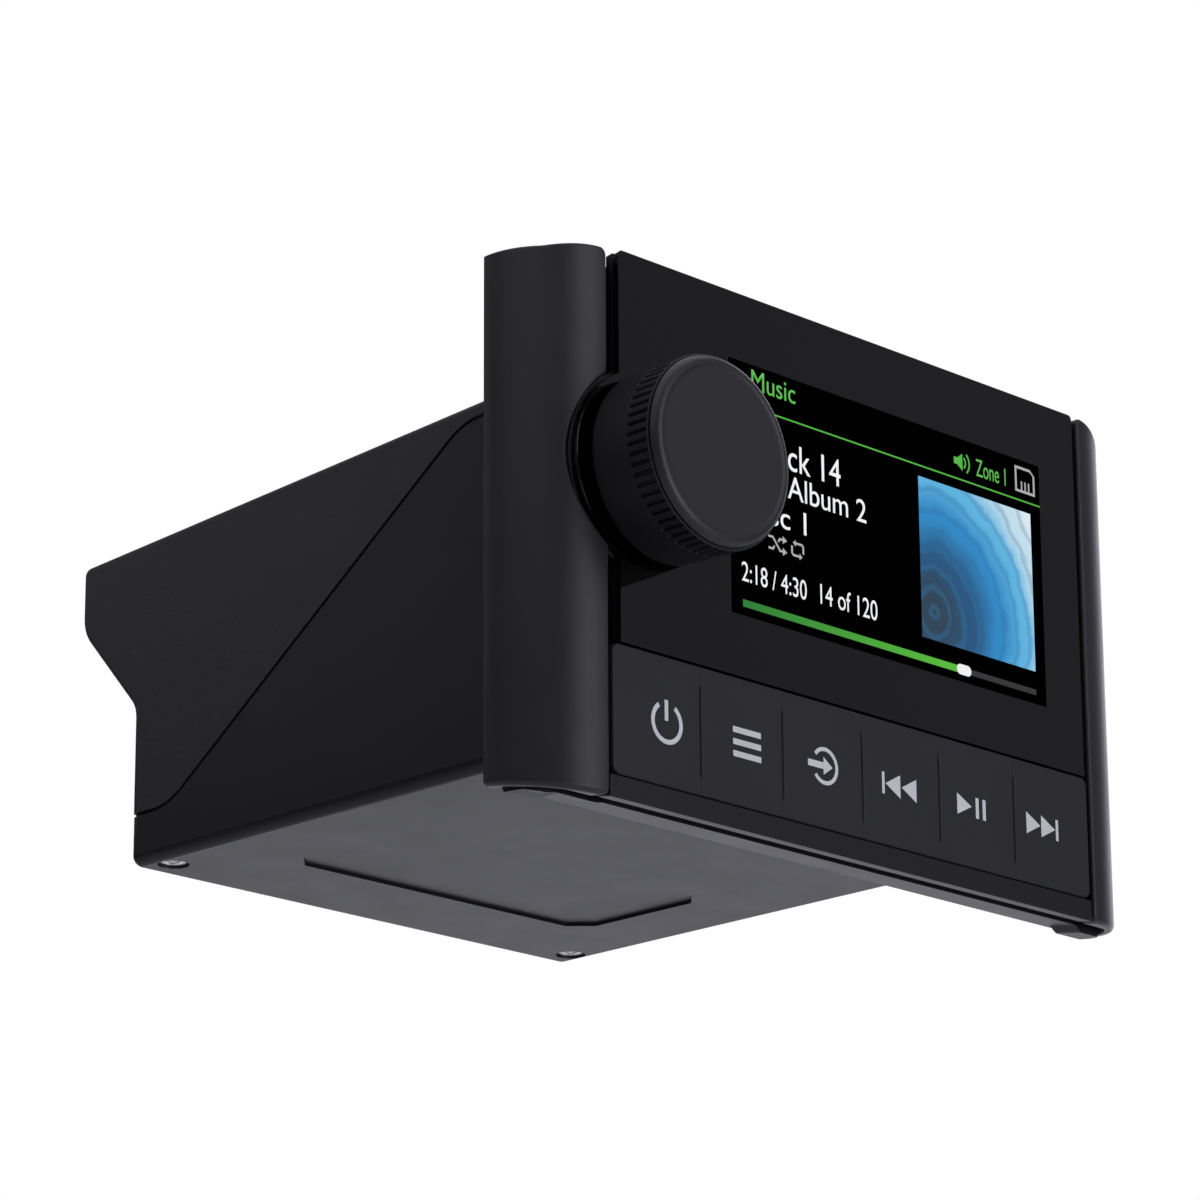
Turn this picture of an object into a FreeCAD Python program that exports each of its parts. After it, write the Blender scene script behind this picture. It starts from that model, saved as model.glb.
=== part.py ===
import FreeCAD, Part
import math
import os

import Sketcher

# A flush-mount marine stereo, in millimetres. +Z is up, the front faces -Y and the origin is the
# centre of the four dash screws, on the plane where the flange meets the dash.
SIZES = {
    # Front: overall height, depth in front of the dash, and how far top and bottom draw in by there
    "FaceHigh": 82.0,
    "FaceDeep": 12.5,
    "FaceTaper": 2.06,
    "LayerDeep": 2.6,
    "GlassLeft": 50.2,
    "GlassRight": 51.9,
    "GlassDeep": 1.25,
    "GlassFoot": -18.1,
    "GlassHole": 9.5,
    # Side trims: inner edge, centre and radius of the round plan, and heights above and below the middle
    "TrimInner": 52.8,
    "TrimGap": 0.25,
    "TrimRadius": 11.66,
    "TrimCentre": 53.4,
    "TrimSet": -1.1,
    "TrimWall": 1.5,
    "TrimRound": 0.5,
    "TrimTop": 40.3,
    "TrimFoot": 41.0,
    "GrooveDeep": 1.6,
    "GrooveWide": 3.1,
    "Play": 0.15,
    "Running": 0.05,
    # Clips of the side trims
    "ClipX": 57.1,
    "ClipZ": 21.0,
    "ClipWide": 1.6,
    "ClipHigh": 6.0,
    "ClipLong": 9.6,
    # Display
    "ScreenX": 8.0,
    "ScreenZ": 10.9,
    "ScreenWide": 76.0,
    "ScreenHigh": 46.0,
    "ScreenDeep": 3.6,
    "TrayWall": 0.9,
    # Keys
    "KeyTop": -18.5,
    "KeyFoot": -37.5,
    "KeyHalf": 52.1,
    "KeyPitch": 17.2,
    "KeyGap": 0.3,
    "KeyProud": 0.2,
    "KeyDeep": 1.6,
    "KeyRound": 1.4,
    "KeyTravel": 0.6,
    "NubRadius": 2.5,
    "NubLong": 2.1,
    # Knob
    "KnobX": -43.5,
    "KnobZ": 8.5,
    "KnobRadius": 14.06,
    "KnobRim": 14.45,
    "CapRadius": 14.62,
    "CapRound": 1.7,
    "KnobFoot": 14.1,
    "KnobSeam": 25.6,
    "KnobNose": 27.5,
    "KnobWall": 2.0,
    "WebDeep": 2.2,
    "HubRadius": 5.7,
    "GripCount": 60,
    "GripLong": 3.5,
    "GripCut": 0.45,
    "GripWide": 0.45,
    "LobeRadius": 15.15,
    "LobeLip": 0.4,
    "LobeScallop": 0.75,
    # Encoder
    "ShaftRadius": 3.0,
    "ShaftNose": 24.0,
    "ShaftFoot": 7.2,
    "FlatLong": 7.0,
    "FlatSet": 1.6,
    "BushRadius": 3.5,
    "BushNose": 14.6,
    "CaseHalf": 6.2,
    "BoreFloor": 5.0,
    "PlungerFoot": 6.0,
    # Housing behind the dash
    "BodyHalf": 47.4,
    "BodyWall": 2.5,
    "BodyFoot": -29.95,
    "BodyTop": 27.95,
    "BodyDrop": 6.27,
    "BodyDeep": 110.6,
    "RearDeep": 97.5,
    "HoodFoot": 10.8,
    "BayTop": -4.2,
    "SeamFront": 24.3,
    "SeamRear": -21.8,
    "SeamStart": 22.5,
    "SeamEnd": 88.5,
    "SeamGap": 0.3,
    "SeamRound": 12.0,
    "BodyRound": 1.8,
    "TopRound": 1.2,
    # Flange, its screws and its gasket
    "DashX": 57.0,
    "DashZ": 29.5,
    "DashHole": 2.1,
    "DashHead": 4.0,
    "DashSeat": 3.0,
    "PlateDeep": 2.5,
    "EarHigh": 36.5,
    "LobeX": 59.4,
    "LobeY": -4.2,
    "LobeFoot": 40.25,
    "FrameX": 51.0,
    "FrameZ": 37.5,
    "GasketX": 52.0,
    "GasketZ": 34.0,
    "GasketWide": 3.0,
    "GasketDeep": 1.2,
    "GasketProud": 0.5,
    # Boards and sockets
    "BoardThick": 1.6,
    "BoardTop": -19.0,
    "SocketHigh": 12.0,
    "SocketRear": 101.0,
    "SocketFront": 82.0,
    "SocketWall": 1.8,
    "SocketMouth": 9.0,
    # Screws
    "PilotRadius": 1.3,
    "ShankRadius": 1.25,
    "ClosingX": 43.4,
    "ClosingY": 91.4,
    "ClosingSeat": 1.2,
}


class Size:
    """A length that carries its number and the sheet formula that it comes from."""

    def __init__(self, value, text):
        self.value = float(value)
        self.text = text

    def __add__(self, other):
        other = sized(other)
        return Size(self.value + other.value, "(%s + %s)" % (self.text, other.text))

    def __radd__(self, other):
        return sized(other) + self

    def __sub__(self, other):
        other = sized(other)
        return Size(self.value - other.value, "(%s - %s)" % (self.text, other.text))

    def __rsub__(self, other):
        return sized(other) - self

    def __mul__(self, other):
        other = sized(other)
        return Size(self.value * other.value, "(%s * %s)" % (self.text, other.text))

    def __rmul__(self, other):
        return sized(other) * self

    def __truediv__(self, other):
        other = sized(other)
        return Size(self.value / other.value, "(%s / %s)" % (self.text, other.text))

    def __neg__(self):
        return Size(-self.value, "(0 - %s)" % self.text)


def sized(value):
    return value if isinstance(value, Size) else Size(value, "(%r)" % float(value))


def root(size):
    """The square root of a formula."""
    return Size(math.sqrt(size.value), "sqrt(%s)" % size.text)


def in_order(first, second):
    """Two places, the lower one first."""
    return sorted((sized(first), sized(second)), key=lambda size: size.value)


doc = FreeCAD.newDocument("marine_stereo")
sheet = doc.addObject("Spreadsheet::Sheet", "Sizes")
for row, (alias, number) in enumerate(SIZES.items(), 1):
    sheet.set("A%d" % row, alias)
    sheet.set("B%d" % row, "%r" % number)
    sheet.setAlias("B%d" % row, alias)
doc.recompute()
S = {alias: Size(number, "Sizes." + alias) for alias, number in SIZES.items()}
PIECES = []

# Shared ways of building

PLANES = {"plan": "XY_Plane", "front": "XZ_Plane", "side": "YZ_Plane"}
CLEAR = 70.0


def new_body(name):
    body = doc.addObject("PartDesign::Body", name)
    body.Label = name
    PIECES.append(body)
    return body


def sketch_on(body, view, level=0, at=(0, 0)):
    """A sketch parallel to an origin plane: plan at a height Z, front at a depth Y, side at an X.

    at is where the sketch's own centre lies in that plane.
    """
    sketch = body.newObject("Sketcher::SketchObject", body.Name + "_sketch")
    plane = [f for f in body.Origin.OriginFeatures if f.Role == PLANES[view]][0]
    sketch.AttachmentSupport = [(plane, "")]
    sketch.MapMode = "FlatFace"
    offset = -sized(level) if view == "front" else sized(level)
    for axis, size in (("x", sized(at[0])), ("y", sized(at[1])), ("z", offset)):
        sketch.setExpression("AttachmentOffset.Base." + axis, size.text)
    return sketch


def constrain(sketch, constraint, size):
    index = sketch.addConstraint(constraint)
    sketch.setExpression("Constraints[%d]" % index, size.text)


def fix_point(sketch, geo, end, x, y):
    """Ties one point of a sketch to the sheet, or to an axis where its place is zero."""
    for kind, size, axis in (("DistanceX", sized(x), -2), ("DistanceY", sized(y), -1)):
        if abs(size.value) < 1e-9:
            sketch.addConstraint(Sketcher.Constraint("PointOnObject", geo, end, axis))
        else:
            constrain(sketch, Sketcher.Constraint(kind, -1, 1, geo, end, size.value), size)


def arc_middle(start, end, radius):
    """A point on the shorter arc from start to end, to the right of the chord if radius is positive."""
    chord = end - start
    half = chord.Length / 2
    sagitta = abs(radius) - math.sqrt(radius * radius - half * half)
    side = FreeCAD.Vector(chord.y, -chord.x, 0).normalize() * math.copysign(sagitta, radius)
    return (start + end) / 2 + side


def outline(sketch, corners, arcs=None):
    """A closed outline. arcs gives the radius of the side that starts at a corner."""
    arcs = arcs or {}
    points = [FreeCAD.Vector(sized(x).value, sized(y).value, 0) for x, y in corners]
    starts = []
    ends = []
    for i, start in enumerate(points):
        end = points[(i + 1) % len(points)]
        if i in arcs:
            middle = arc_middle(start, end, arcs[i].value)
            geo = sketch.addGeometry(Part.Arc(start, middle, end))
            flipped = sketch.getPoint(geo, 1).distanceToPoint(start) > 1e-6
            bow = Size(abs(arcs[i].value), "abs(%s)" % arcs[i].text)
            constrain(sketch, Sketcher.Constraint("Radius", geo, bow.value), bow)
        else:
            geo = sketch.addGeometry(Part.LineSegment(start, end))
            flipped = False
        starts.append((geo, 2 if flipped else 1))
        ends.append((geo, 1 if flipped else 2))
    for i, (x, y) in enumerate(corners):
        sketch.addConstraint(Sketcher.Constraint("Coincident", *ends[i - 1], *starts[i]))
        fix_point(sketch, *starts[i], x, y)
    return sketch


def rectangle(sketch, x0, x1, y0, y1):
    return outline(sketch, [(x0, y0), (x1, y0), (x1, y1), (x0, y1)])


def circle(sketch, x, y, radius):
    x, y, radius = sized(x), sized(y), sized(radius)
    centre = FreeCAD.Vector(x.value, y.value, 0)
    geo = sketch.addGeometry(Part.Circle(centre, FreeCAD.Vector(0, 0, 1), radius.value))
    fix_point(sketch, geo, 3, x, y)
    constrain(sketch, Sketcher.Constraint("Radius", geo, radius.value), radius)
    return sketch


def extrude(body, sketch, length, cut=False, negative=False):
    """Adds or cuts from the sketch towards +X, +Y or +Z, or the other way if negative."""
    facing = sketch.AttachmentSupport[0][0].Role == "XZ_Plane"
    feature = body.newObject("PartDesign::Pocket" if cut else "PartDesign::Pad", body.Name + "_step")
    feature.Profile = sketch
    feature.setExpression("Length", sized(length).text)
    feature.Reversed = (facing == negative) == cut
    before = body.Shape.Volume if body.Shape and not body.Shape.isNull() else 0.0
    doc.recompute()
    change = feature.Shape.Volume - before
    if (change >= 0) == cut:
        raise RuntimeError("%s: a step changed nothing" % body.Label)
    return feature


def revolve(body, sketch):
    """Turns a profile all the way round the sketch's own level axis."""
    feature = body.newObject("PartDesign::Revolution", body.Name + "_turn")
    feature.Profile = sketch
    feature.ReferenceAxis = (sketch, ["H_Axis"])
    feature.Angle = 360
    doc.recompute()
    return feature


def repeat_round(body, feature, sketch, count):
    """Repeats a cut round the centre of its sketch, and stops if the repeats cut nothing."""
    whole = feature.BaseFeature.Shape.Volume
    single = whole - feature.Shape.Volume
    pattern = body.newObject("PartDesign::PolarPattern", body.Name + "_pattern")
    pattern.Originals = [feature]
    pattern.Axis = (sketch, ["N_Axis"])
    pattern.Angle = 360
    pattern.Occurrences = count
    body.Tip = pattern
    doc.recompute()
    if whole - pattern.Shape.Volume < single * (count - 0.5):
        raise RuntimeError("%s: the pattern didn't repeat its cut" % body.Label)


def soften(body, radius, wanted):
    """Rounds the edges that a test picks out, by the middle of each edge and its direction."""
    base = body.Tip
    names = []
    for i, edge in enumerate(base.Shape.Edges, 1):
        run = edge.lastVertex().Point - edge.firstVertex().Point
        axis = max("xyz", key=lambda a: abs(getattr(run, a)))
        if wanted(edge.CenterOfMass, axis):
            names.append("Edge%d" % i)
    if not names:
        raise RuntimeError("%s: no edge to round" % body.Label)
    fillet = body.newObject("PartDesign::Fillet", body.Name + "_round")
    fillet.Base = (base, names)
    fillet.setExpression("Radius", sized(radius).text)
    doc.recompute()
    if fillet.Shape.isNull() or not fillet.Shape.isValid():
        raise RuntimeError("%s: edges %s could not be rounded" % (body.Label, names))
    return fillet


def near(middle, y, z, reach=2.0):
    return math.hypot(middle.y - sized(y).value, middle.z - sized(z).value) < reach


def at_corners(points, reach=2.0):
    """A test for the sideways edges that run through corners of a side profile."""

    def passes(middle, axis):
        return axis == "x" and any(near(middle, y, z, reach) for y, z in points)

    return passes


def box(name, x0, x1, y0, y1, z0, z1):
    """A plain block between two corners."""
    block = doc.addObject("Part::Box", name)
    spans = (("Length", "x", x0, x1), ("Width", "y", y0, y1), ("Height", "z", z0, z1))
    for prop, axis, low, high in spans:
        low, high = sized(low), sized(high)
        block.setExpression(prop, (high - low).text)
        block.setExpression("Placement.Base." + axis, low.text)
    return block


def rod(name, x, z, radius, y0, y1):
    """A round bar along Y."""
    bar = doc.addObject("Part::Cylinder", name)
    bar.Placement.Rotation = FreeCAD.Rotation(FreeCAD.Vector(1, 0, 0), -90)
    y0, y1 = sized(y0), sized(y1)
    bar.setExpression("Radius", sized(radius).text)
    bar.setExpression("Height", (y1 - y0).text)
    for axis, size in (("x", x), ("y", y0), ("z", z)):
        bar.setExpression("Placement.Base." + axis, sized(size).text)
    return bar


def post(name, x, y, radius, z0, z1):
    """A round bar along Z."""
    bar = doc.addObject("Part::Cylinder", name)
    z0, z1 = sized(z0), sized(z1)
    bar.setExpression("Radius", sized(radius).text)
    bar.setExpression("Height", (z1 - z0).text)
    for axis, size in (("x", x), ("y", y), ("z", z0)):
        bar.setExpression("Placement.Base." + axis, sized(size).text)
    return bar


def cut(name, base, tool):
    piece = doc.addObject("Part::Cut", name)
    piece.Base = base
    piece.Tool = tool
    return piece


def fuse(name, shapes):
    piece = doc.addObject("Part::MultiFuse", name)
    piece.Shapes = shapes
    return piece


def group(name, shapes):
    piece = doc.addObject("Part::Compound", name)
    piece.Links = shapes
    return piece


def keep(piece, label):
    piece.Label = label
    PIECES.append(piece)
    return piece


# Places that several pieces share

SIDES = (-1, 1)
PLAY = S["Play"]
FRONT = -S["FaceDeep"]
LAYER = FRONT + S["LayerDeep"]
HALF_HIGH = S["FaceHigh"] / 2
GLASS_BACK = FRONT + S["GlassDeep"]
PLATE_FRONT = -S["PlateDeep"]
BOARD_FRONT = PLATE_FRONT - S["BoardThick"]
KNOB = (S["KnobX"], S["KnobZ"])
KEY_NAMES = ("power_key", "menu_key", "source_key", "previous_key", "play_key", "next_key")
KEY_FRONT = FRONT - S["KeyProud"]
KEY_BACK = KEY_FRONT + S["KeyDeep"]
KEY_PITCH = S["KeyPitch"]
KEY_MIDDLE = (S["KeyTop"] + S["KeyFoot"]) / 2
KEY_CENTRES = [KEY_PITCH * (i - (len(KEY_NAMES) - 1) / 2) for i in range(len(KEY_NAMES))]
SHELL_SCREWS = [(x, z) for x in (-41.5, 41.5) for z in (-23.8, 18.5)]
BOARD_SCREWS = [(x, y) for x in (-36.0, 36.0) for y in (18.0, 78.0)]
SOCKET_MIDDLE = S["BoardTop"] + S["SocketHigh"] / 2
# Each block socket: name, place along X, width, height of its mouth
BLOCK_SOCKETS = [
    ("power_socket", -29.5, 20.0, 8.4),
    ("audio_socket", -10.5, 16.0, 8.4),
    ("network_socket", 7.0, 16.0, 8.0),
]
# Each round socket: name, place along X, outer radius, radius of its mouth
ROUND_SOCKETS = [("data_socket", 22.6, 6.0, 4.4), ("antenna_socket", 34.6, 4.6, 3.1)]


def half_high(depth):
    """Half the height of the front at a depth Y, which shrinks towards the dash."""
    return HALF_HIGH - (depth - FRONT) * S["FaceTaper"] / S["FaceDeep"]


def trim_high(side, depth):
    """How far above or below the middle a side trim reaches at a depth Y."""
    front = S["TrimTop"] if side > 0 else S["TrimFoot"]
    return front - (depth - FRONT) * (front - half_high(sized(0))) / S["FaceDeep"]


def trim_depth(x, radius):
    """The depth Y of the trim's round plan at a distance x from the middle."""
    return S["TrimSet"] - root(radius * radius - (x - S["TrimCentre"]) * (x - S["TrimCentre"]))


def trim_reach(radius):
    """How far from the middle the trim's round plan meets the dash plane."""
    return S["TrimCentre"] + root(radius * radius - S["TrimSet"] * S["TrimSet"])


def taper_ends(body, front, back, groove=None):
    """Slopes top and bottom towards the dash, with a step behind the front layer if asked."""
    for side in SIDES:
        sketch = sketch_on(body, "side", -CLEAR)
        corners = [(front, side * half_high(front)), (back, side * half_high(back))]
        if groove:
            step = front + S["GrooveWide"]
            corners = [
                (front, side * (half_high(front) - groove)),
                (step, side * (half_high(step) - groove)),
                (step, side * half_high(step)),
                (back, side * half_high(back)),
            ]
        corners += [(back, side * (HALF_HIGH + 4)), (front, side * (HALF_HIGH + 4))]
        outline(sketch, corners)
        extrude(body, sketch, 2 * CLEAR, cut=True)


def taper_trims(body, front, ends=SIDES, sides=SIDES):
    """Slopes what lies beyond the trims' inner edges, at bottom and top, along the trims' own line."""
    back = sized(1)
    for end in ends:
        for side in sides:
            sketch = sketch_on(body, "side", end * (S["TrimInner"] - S["TrimGap"]))
            far = side * (HALF_HIGH + 4)
            outline(sketch, [
                (front, side * trim_high(side, front)), (back, side * trim_high(side, back)),
                (back, far), (front, far),
            ])
            extrude(body, sketch, CLEAR, cut=True, negative=end < 0)


def screen_span(room):
    """The display module's sides, grown by some room."""
    wide = S["ScreenWide"] / 2 + room
    high = S["ScreenHigh"] / 2 + room
    return S["ScreenX"] - wide, S["ScreenX"] + wide, S["ScreenZ"] - high, S["ScreenZ"] + high


def seam_corners(shift):
    """The seam between the shells, seen from the side: level, a long slope, and level again."""
    run = S["SeamEnd"] - S["SeamStart"]
    drop = S["SeamFront"] - S["SeamRear"]
    length = root(run * run + drop * drop)
    slide = shift * (length - run) / drop
    return [
        (sized(0), S["SeamFront"] + shift),
        (S["SeamStart"] + slide, S["SeamFront"] + shift),
        (S["SeamEnd"] + slide, S["SeamRear"] + shift),
        (S["RearDeep"], S["SeamRear"] + shift),
    ]


# Front


def make_front_fascia():
    """The moulded plate that carries the glass, guides the keys and shows as the chin below them."""
    body = new_body("front_fascia")
    wide = S["TrimInner"] - S["TrimGap"]
    left, right = -S["GlassLeft"], S["GlassRight"]
    step = S["GlassFoot"] - PLAY
    chin_top = S["KeyFoot"] - PLAY
    deep = S["LayerDeep"] + 1
    sketch = sketch_on(body, "front", GLASS_BACK)
    outline(sketch, [
        (-wide, -HALF_HIGH), (wide, -HALF_HIGH), (wide, step), (right, step),
        (right, HALF_HIGH), (left, HALF_HIGH), (left, step), (-wide, step),
    ])
    extrude(body, sketch, LAYER - GLASS_BACK)
    sketch = sketch_on(body, "front", GLASS_BACK, KNOB)
    extrude(body, circle(sketch, 0, 0, S["LobeRadius"] + S["LobeLip"]), LAYER - GLASS_BACK)
    sketch = sketch_on(body, "front", FRONT)
    extrude(body, rectangle(sketch, -wide, wide, -HALF_HIGH, chin_top), S["GlassDeep"])
    taper_ends(body, FRONT, LAYER)
    sketch = sketch_on(body, "front", GLASS_BACK)
    rectangle(sketch, -wide - 1, wide + 1, chin_top, step)
    extrude(body, sketch, KEY_BACK + S["KeyTravel"] + 0.1 - GLASS_BACK, cut=True)
    sketch = sketch_on(body, "front", FRONT)
    for x in KEY_CENTRES:
        circle(sketch, x, KEY_MIDDLE, S["NubRadius"] + S["Running"])
    rectangle(sketch, *screen_span(0.2))
    circle(sketch, *KNOB, S["BushRadius"] + PLAY)
    extrude(body, sketch, deep, cut=True)


def make_display_glass():
    """The glossy front window, with a round lobe that frames the knob."""
    body = new_body("display_glass")
    sketch = sketch_on(body, "front", FRONT)
    rectangle(sketch, -S["GlassLeft"], S["GlassRight"], S["GlassFoot"], HALF_HIGH)
    extrude(body, sketch, S["GlassDeep"])
    sketch = sketch_on(body, "front", FRONT, KNOB)
    extrude(body, circle(sketch, 0, 0, S["LobeRadius"]), S["GlassDeep"])
    sketch = sketch_on(body, "front", FRONT, KNOB)
    extrude(body, circle(sketch, 0, 0, S["GlassHole"]), S["GlassDeep"], cut=True)
    sketch = sketch_on(body, "side", -CLEAR)
    outline(sketch, [(FRONT, HALF_HIGH), (GLASS_BACK, half_high(GLASS_BACK)), (GLASS_BACK, HALF_HIGH + 1)])
    extrude(body, sketch, 2 * CLEAR, cut=True)
    top = HALF_HIGH.value - 1
    soften(body, 0.8, lambda m, axis: axis == "y" and m.z > top)


def make_trim(name, side):
    """A snap-on side trim: a wall on a round plan, thicker in front, which hides two dash screws."""
    body = new_body(name)
    radius = S["TrimRadius"]
    inner = radius - S["TrimWall"]
    rise = LAYER - S["TrimSet"]
    corners = [
        (side * S["TrimInner"], trim_depth(S["TrimInner"], radius)),
        (side * trim_reach(radius), sized(0)),
        (side * trim_reach(inner), sized(0)),
        (side * (S["TrimCentre"] + root(inner * inner - rise * rise)), LAYER),
        (side * S["TrimInner"], LAYER),
    ]
    sketch = sketch_on(body, "plan", -HALF_HIGH)
    outline(sketch, corners, {0: side * radius, 2: -side * inner})
    extrude(body, sketch, S["FaceHigh"])
    taper_trims(body, FRONT - 1, (side,))
    edge = SIZES["TrimInner"]
    soften(body, S["TrimRound"],
           lambda m, axis: axis == "z" and abs(abs(m.x) - edge) < 0.1 and m.y < FRONT.value)
    if side < 0:
        sketch = sketch_on(body, "front", FRONT - 1, KNOB)
        circle(sketch, 0, 0, S["LobeRadius"] + S["LobeScallop"])
        extrude(body, sketch, S["FaceDeep"], cut=True)
    low, high = in_order(side * S["ClipX"], side * (S["ClipX"] + S["ClipWide"]))
    half = S["ClipHigh"] / 2
    sketch = sketch_on(body, "front", sized(-1.5))
    for end in SIDES:
        rectangle(sketch, low, high, end * S["ClipZ"] - half, end * S["ClipZ"] + half)
    extrude(body, sketch, S["ClipLong"], negative=True)


def make_mount_frame():
    """The tray behind the front layer: its back plate is the flange that screws to the dash."""
    body = new_body("mount_frame")
    radius = S["TrimSet"] - LAYER
    edge = S["TrimCentre"]
    reach = trim_reach(radius)
    sketch = sketch_on(body, "plan", -HALF_HIGH)
    corners = [(-edge, LAYER), (-reach, sized(0)), (reach, sized(0)), (edge, LAYER)]
    outline(sketch, corners, {0: -radius, 2: -radius})
    extrude(body, sketch, S["FaceHigh"])
    taper_ends(body, LAYER, sized(0), S["GrooveDeep"])
    taper_trims(body, LAYER - 1, sides=(1,))
    sketch = sketch_on(body, "plan", -S["LobeFoot"])
    for side in SIDES:
        circle(sketch, side * S["LobeX"], S["LobeY"], 2.4)
    extrude(body, sketch, 3.0)
    frame_ears(body)
    sketch = sketch_on(body, "front", LAYER, KNOB)
    extrude(body, circle(sketch, 0, 0, S["LobeRadius"] + S["LobeLip"]), PLATE_FRONT - LAYER)
    sketch = sketch_on(body, "front", LAYER)
    rectangle(sketch, -S["FrameX"], S["FrameX"], -S["FrameZ"], S["FrameZ"])
    extrude(body, sketch, PLATE_FRONT - LAYER, cut=True)
    sketch = sketch_on(body, "front", PLATE_FRONT - 1)
    rectangle(sketch, -36.0, 36.0, -24.0, 20.0)
    extrude(body, sketch, S["PlateDeep"] + 2, cut=True)
    frame_holes(body)
    sketch = sketch_on(body, "front", -S["GasketDeep"])
    ring(sketch, S["GasketWide"] / 2)
    extrude(body, sketch, S["GasketDeep"] + 1, cut=True)


def frame_ears(body):
    """The flange's ends, which reach out to the inside of the trims' walls."""
    radius = S["TrimRadius"] - S["TrimWall"]
    lip = PLATE_FRONT - S["TrimSet"]
    edge = S["TrimCentre"] + root(radius * radius - lip * lip)
    reach = trim_reach(radius)
    sketch = sketch_on(body, "plan", -S["EarHigh"])
    corners = [(-edge, PLATE_FRONT), (-reach, sized(0)), (reach, sized(0)), (edge, PLATE_FRONT)]
    outline(sketch, corners, {0: -radius, 2: -radius})
    extrude(body, sketch, S["EarHigh"] * 2)


def frame_holes(body):
    """Dash screw holes with sunk seats, slots for the trims' clips, and the housing's screw holes."""
    screws = [(x * S["DashX"], z * S["DashZ"]) for x in SIDES for z in SIDES]
    steps = [
        (screws, S["DashHole"], S["FaceDeep"]),
        (screws, S["DashHead"], -LAYER - S["DashSeat"]),
        (SHELL_SCREWS, 1.6, S["FaceDeep"]),
        (SHELL_SCREWS, 3.1, -LAYER - 1.2),
    ]
    for places, radius, deep in steps:
        sketch = sketch_on(body, "front", LAYER)
        for x, z in places:
            circle(sketch, x, z, radius)
        extrude(body, sketch, deep, cut=True)
    half = S["ClipHigh"] / 2 + 0.3
    sketch = sketch_on(body, "front", LAYER)
    for side in SIDES:
        low, high = in_order(side * (S["ClipX"] - 0.3), side * (S["ClipX"] + S["ClipWide"] + 0.3))
        for end in SIDES:
            rectangle(sketch, low, high, end * S["ClipZ"] - half, end * S["ClipZ"] + half)
    extrude(body, sketch, S["FaceDeep"], cut=True)


def ring(sketch, half):
    """Two rectangles, half a width out and in from the gasket's middle line."""
    for way in SIDES:
        x = S["GasketX"] + way * half
        z = S["GasketZ"] + way * half
        rectangle(sketch, -x, x, -z, z)


def make_dash_gasket():
    """The soft ring in the flange's groove, which stands a little proud to seal on the dash."""
    body = new_body("dash_gasket")
    sketch = sketch_on(body, "front", -S["GasketDeep"])
    ring(sketch, S["GasketWide"] / 2 - 0.1)
    extrude(body, sketch, S["GasketDeep"] + S["GasketProud"])


def make_display():
    """The display module, its sheet tray and the board behind them."""
    x0, x1, z0, z1 = screen_span(0)
    back = GLASS_BACK + S["ScreenDeep"]
    wall = S["TrayWall"]
    keep(box("lcd_box", x0, x1, GLASS_BACK, back, z0, z1), "lcd_module")
    x0, x1, z0, z1 = screen_span(1)
    tray = box("tray_outer", x0, x1, back - 1.2, back + 0.8, z0, z1)
    well = box("tray_well", x0 + wall, x1 - wall, back - 2, back, z0 + wall, z1 - wall)
    shell = cut("tray_shell", tray, well)
    feet = []
    for x, z in [(S["ScreenX"] + x * 33.0, S["ScreenZ"] + z * 18.0) for x in SIDES for z in SIDES]:
        feet.append(box("tray_foot", x - 1.5, x + 1.5, back + 0.8, BOARD_FRONT, z - 1.5, z + 1.5))
    keep(fuse("tray_all", [shell] + feet), "lcd_bracket")
    keep(box("front_pcb", -49.5, 49.5, BOARD_FRONT, PLATE_FRONT, -36.5, 36.5), "front_board")


def make_keys():
    """Six keys that travel on their own, each guided by a nub that runs in the plate behind it."""
    ends = {KEY_NAMES[0]: -S["KeyHalf"], KEY_NAMES[-1]: S["KeyHalf"]}
    half = KEY_PITCH / 2 - S["KeyGap"] / 2
    for name, x in zip(KEY_NAMES, KEY_CENTRES):
        body = new_body(name)
        sketch = sketch_on(body, "front", KEY_FRONT)
        low = ends[name] if name == KEY_NAMES[0] else x - half
        high = ends[name] if name == KEY_NAMES[-1] else x + half
        rectangle(sketch, low, high, S["KeyFoot"], S["KeyTop"])
        extrude(body, sketch, S["KeyDeep"])
        if name in ends:
            end = ends[name].value
            soften(body, S["KeyRound"], lambda m, axis: axis == "y" and abs(m.x - end) < 0.3)
        sketch = sketch_on(body, "front", KEY_BACK)
        extrude(body, circle(sketch, x, KEY_MIDDLE, S["NubRadius"]), S["NubLong"])


def make_key_contacts():
    """The rubber sheet behind the keys and the switches that they press."""
    body = new_body("key_membrane")
    sketch = sketch_on(body, "front", LAYER)
    rectangle(sketch, -50.5, 50.5, -36.8, -19.2)
    half = S["NubRadius"] + S["Running"]
    for x in KEY_CENTRES:
        rectangle(sketch, x - half, x + half, KEY_MIDDLE - half, KEY_MIDDLE + half)
    extrude(body, sketch, 0.6)
    switches = []
    case_front = BOARD_FRONT - 3.5
    blocks = (("switch_case", 3.0, case_front, BOARD_FRONT), ("switch_tip", 1.5, case_front - 0.6, case_front))
    for x in KEY_CENTRES:
        parts = [
            box(name, x - half, x + half, front, back, KEY_MIDDLE - half, KEY_MIDDLE + half)
            for name, half, front, back in blocks
        ]
        switches.append(fuse("switch", parts))
    keep(group("switch_group", switches), "tact_switches")


# Knob and encoder, all about the knob's own axis


def knob_profile(body):
    """A sketch on the side plane through the knob's axis: depth Y along, radius up."""
    return sketch_on(body, "side", KNOB[0], (0, KNOB[1]))


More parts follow.
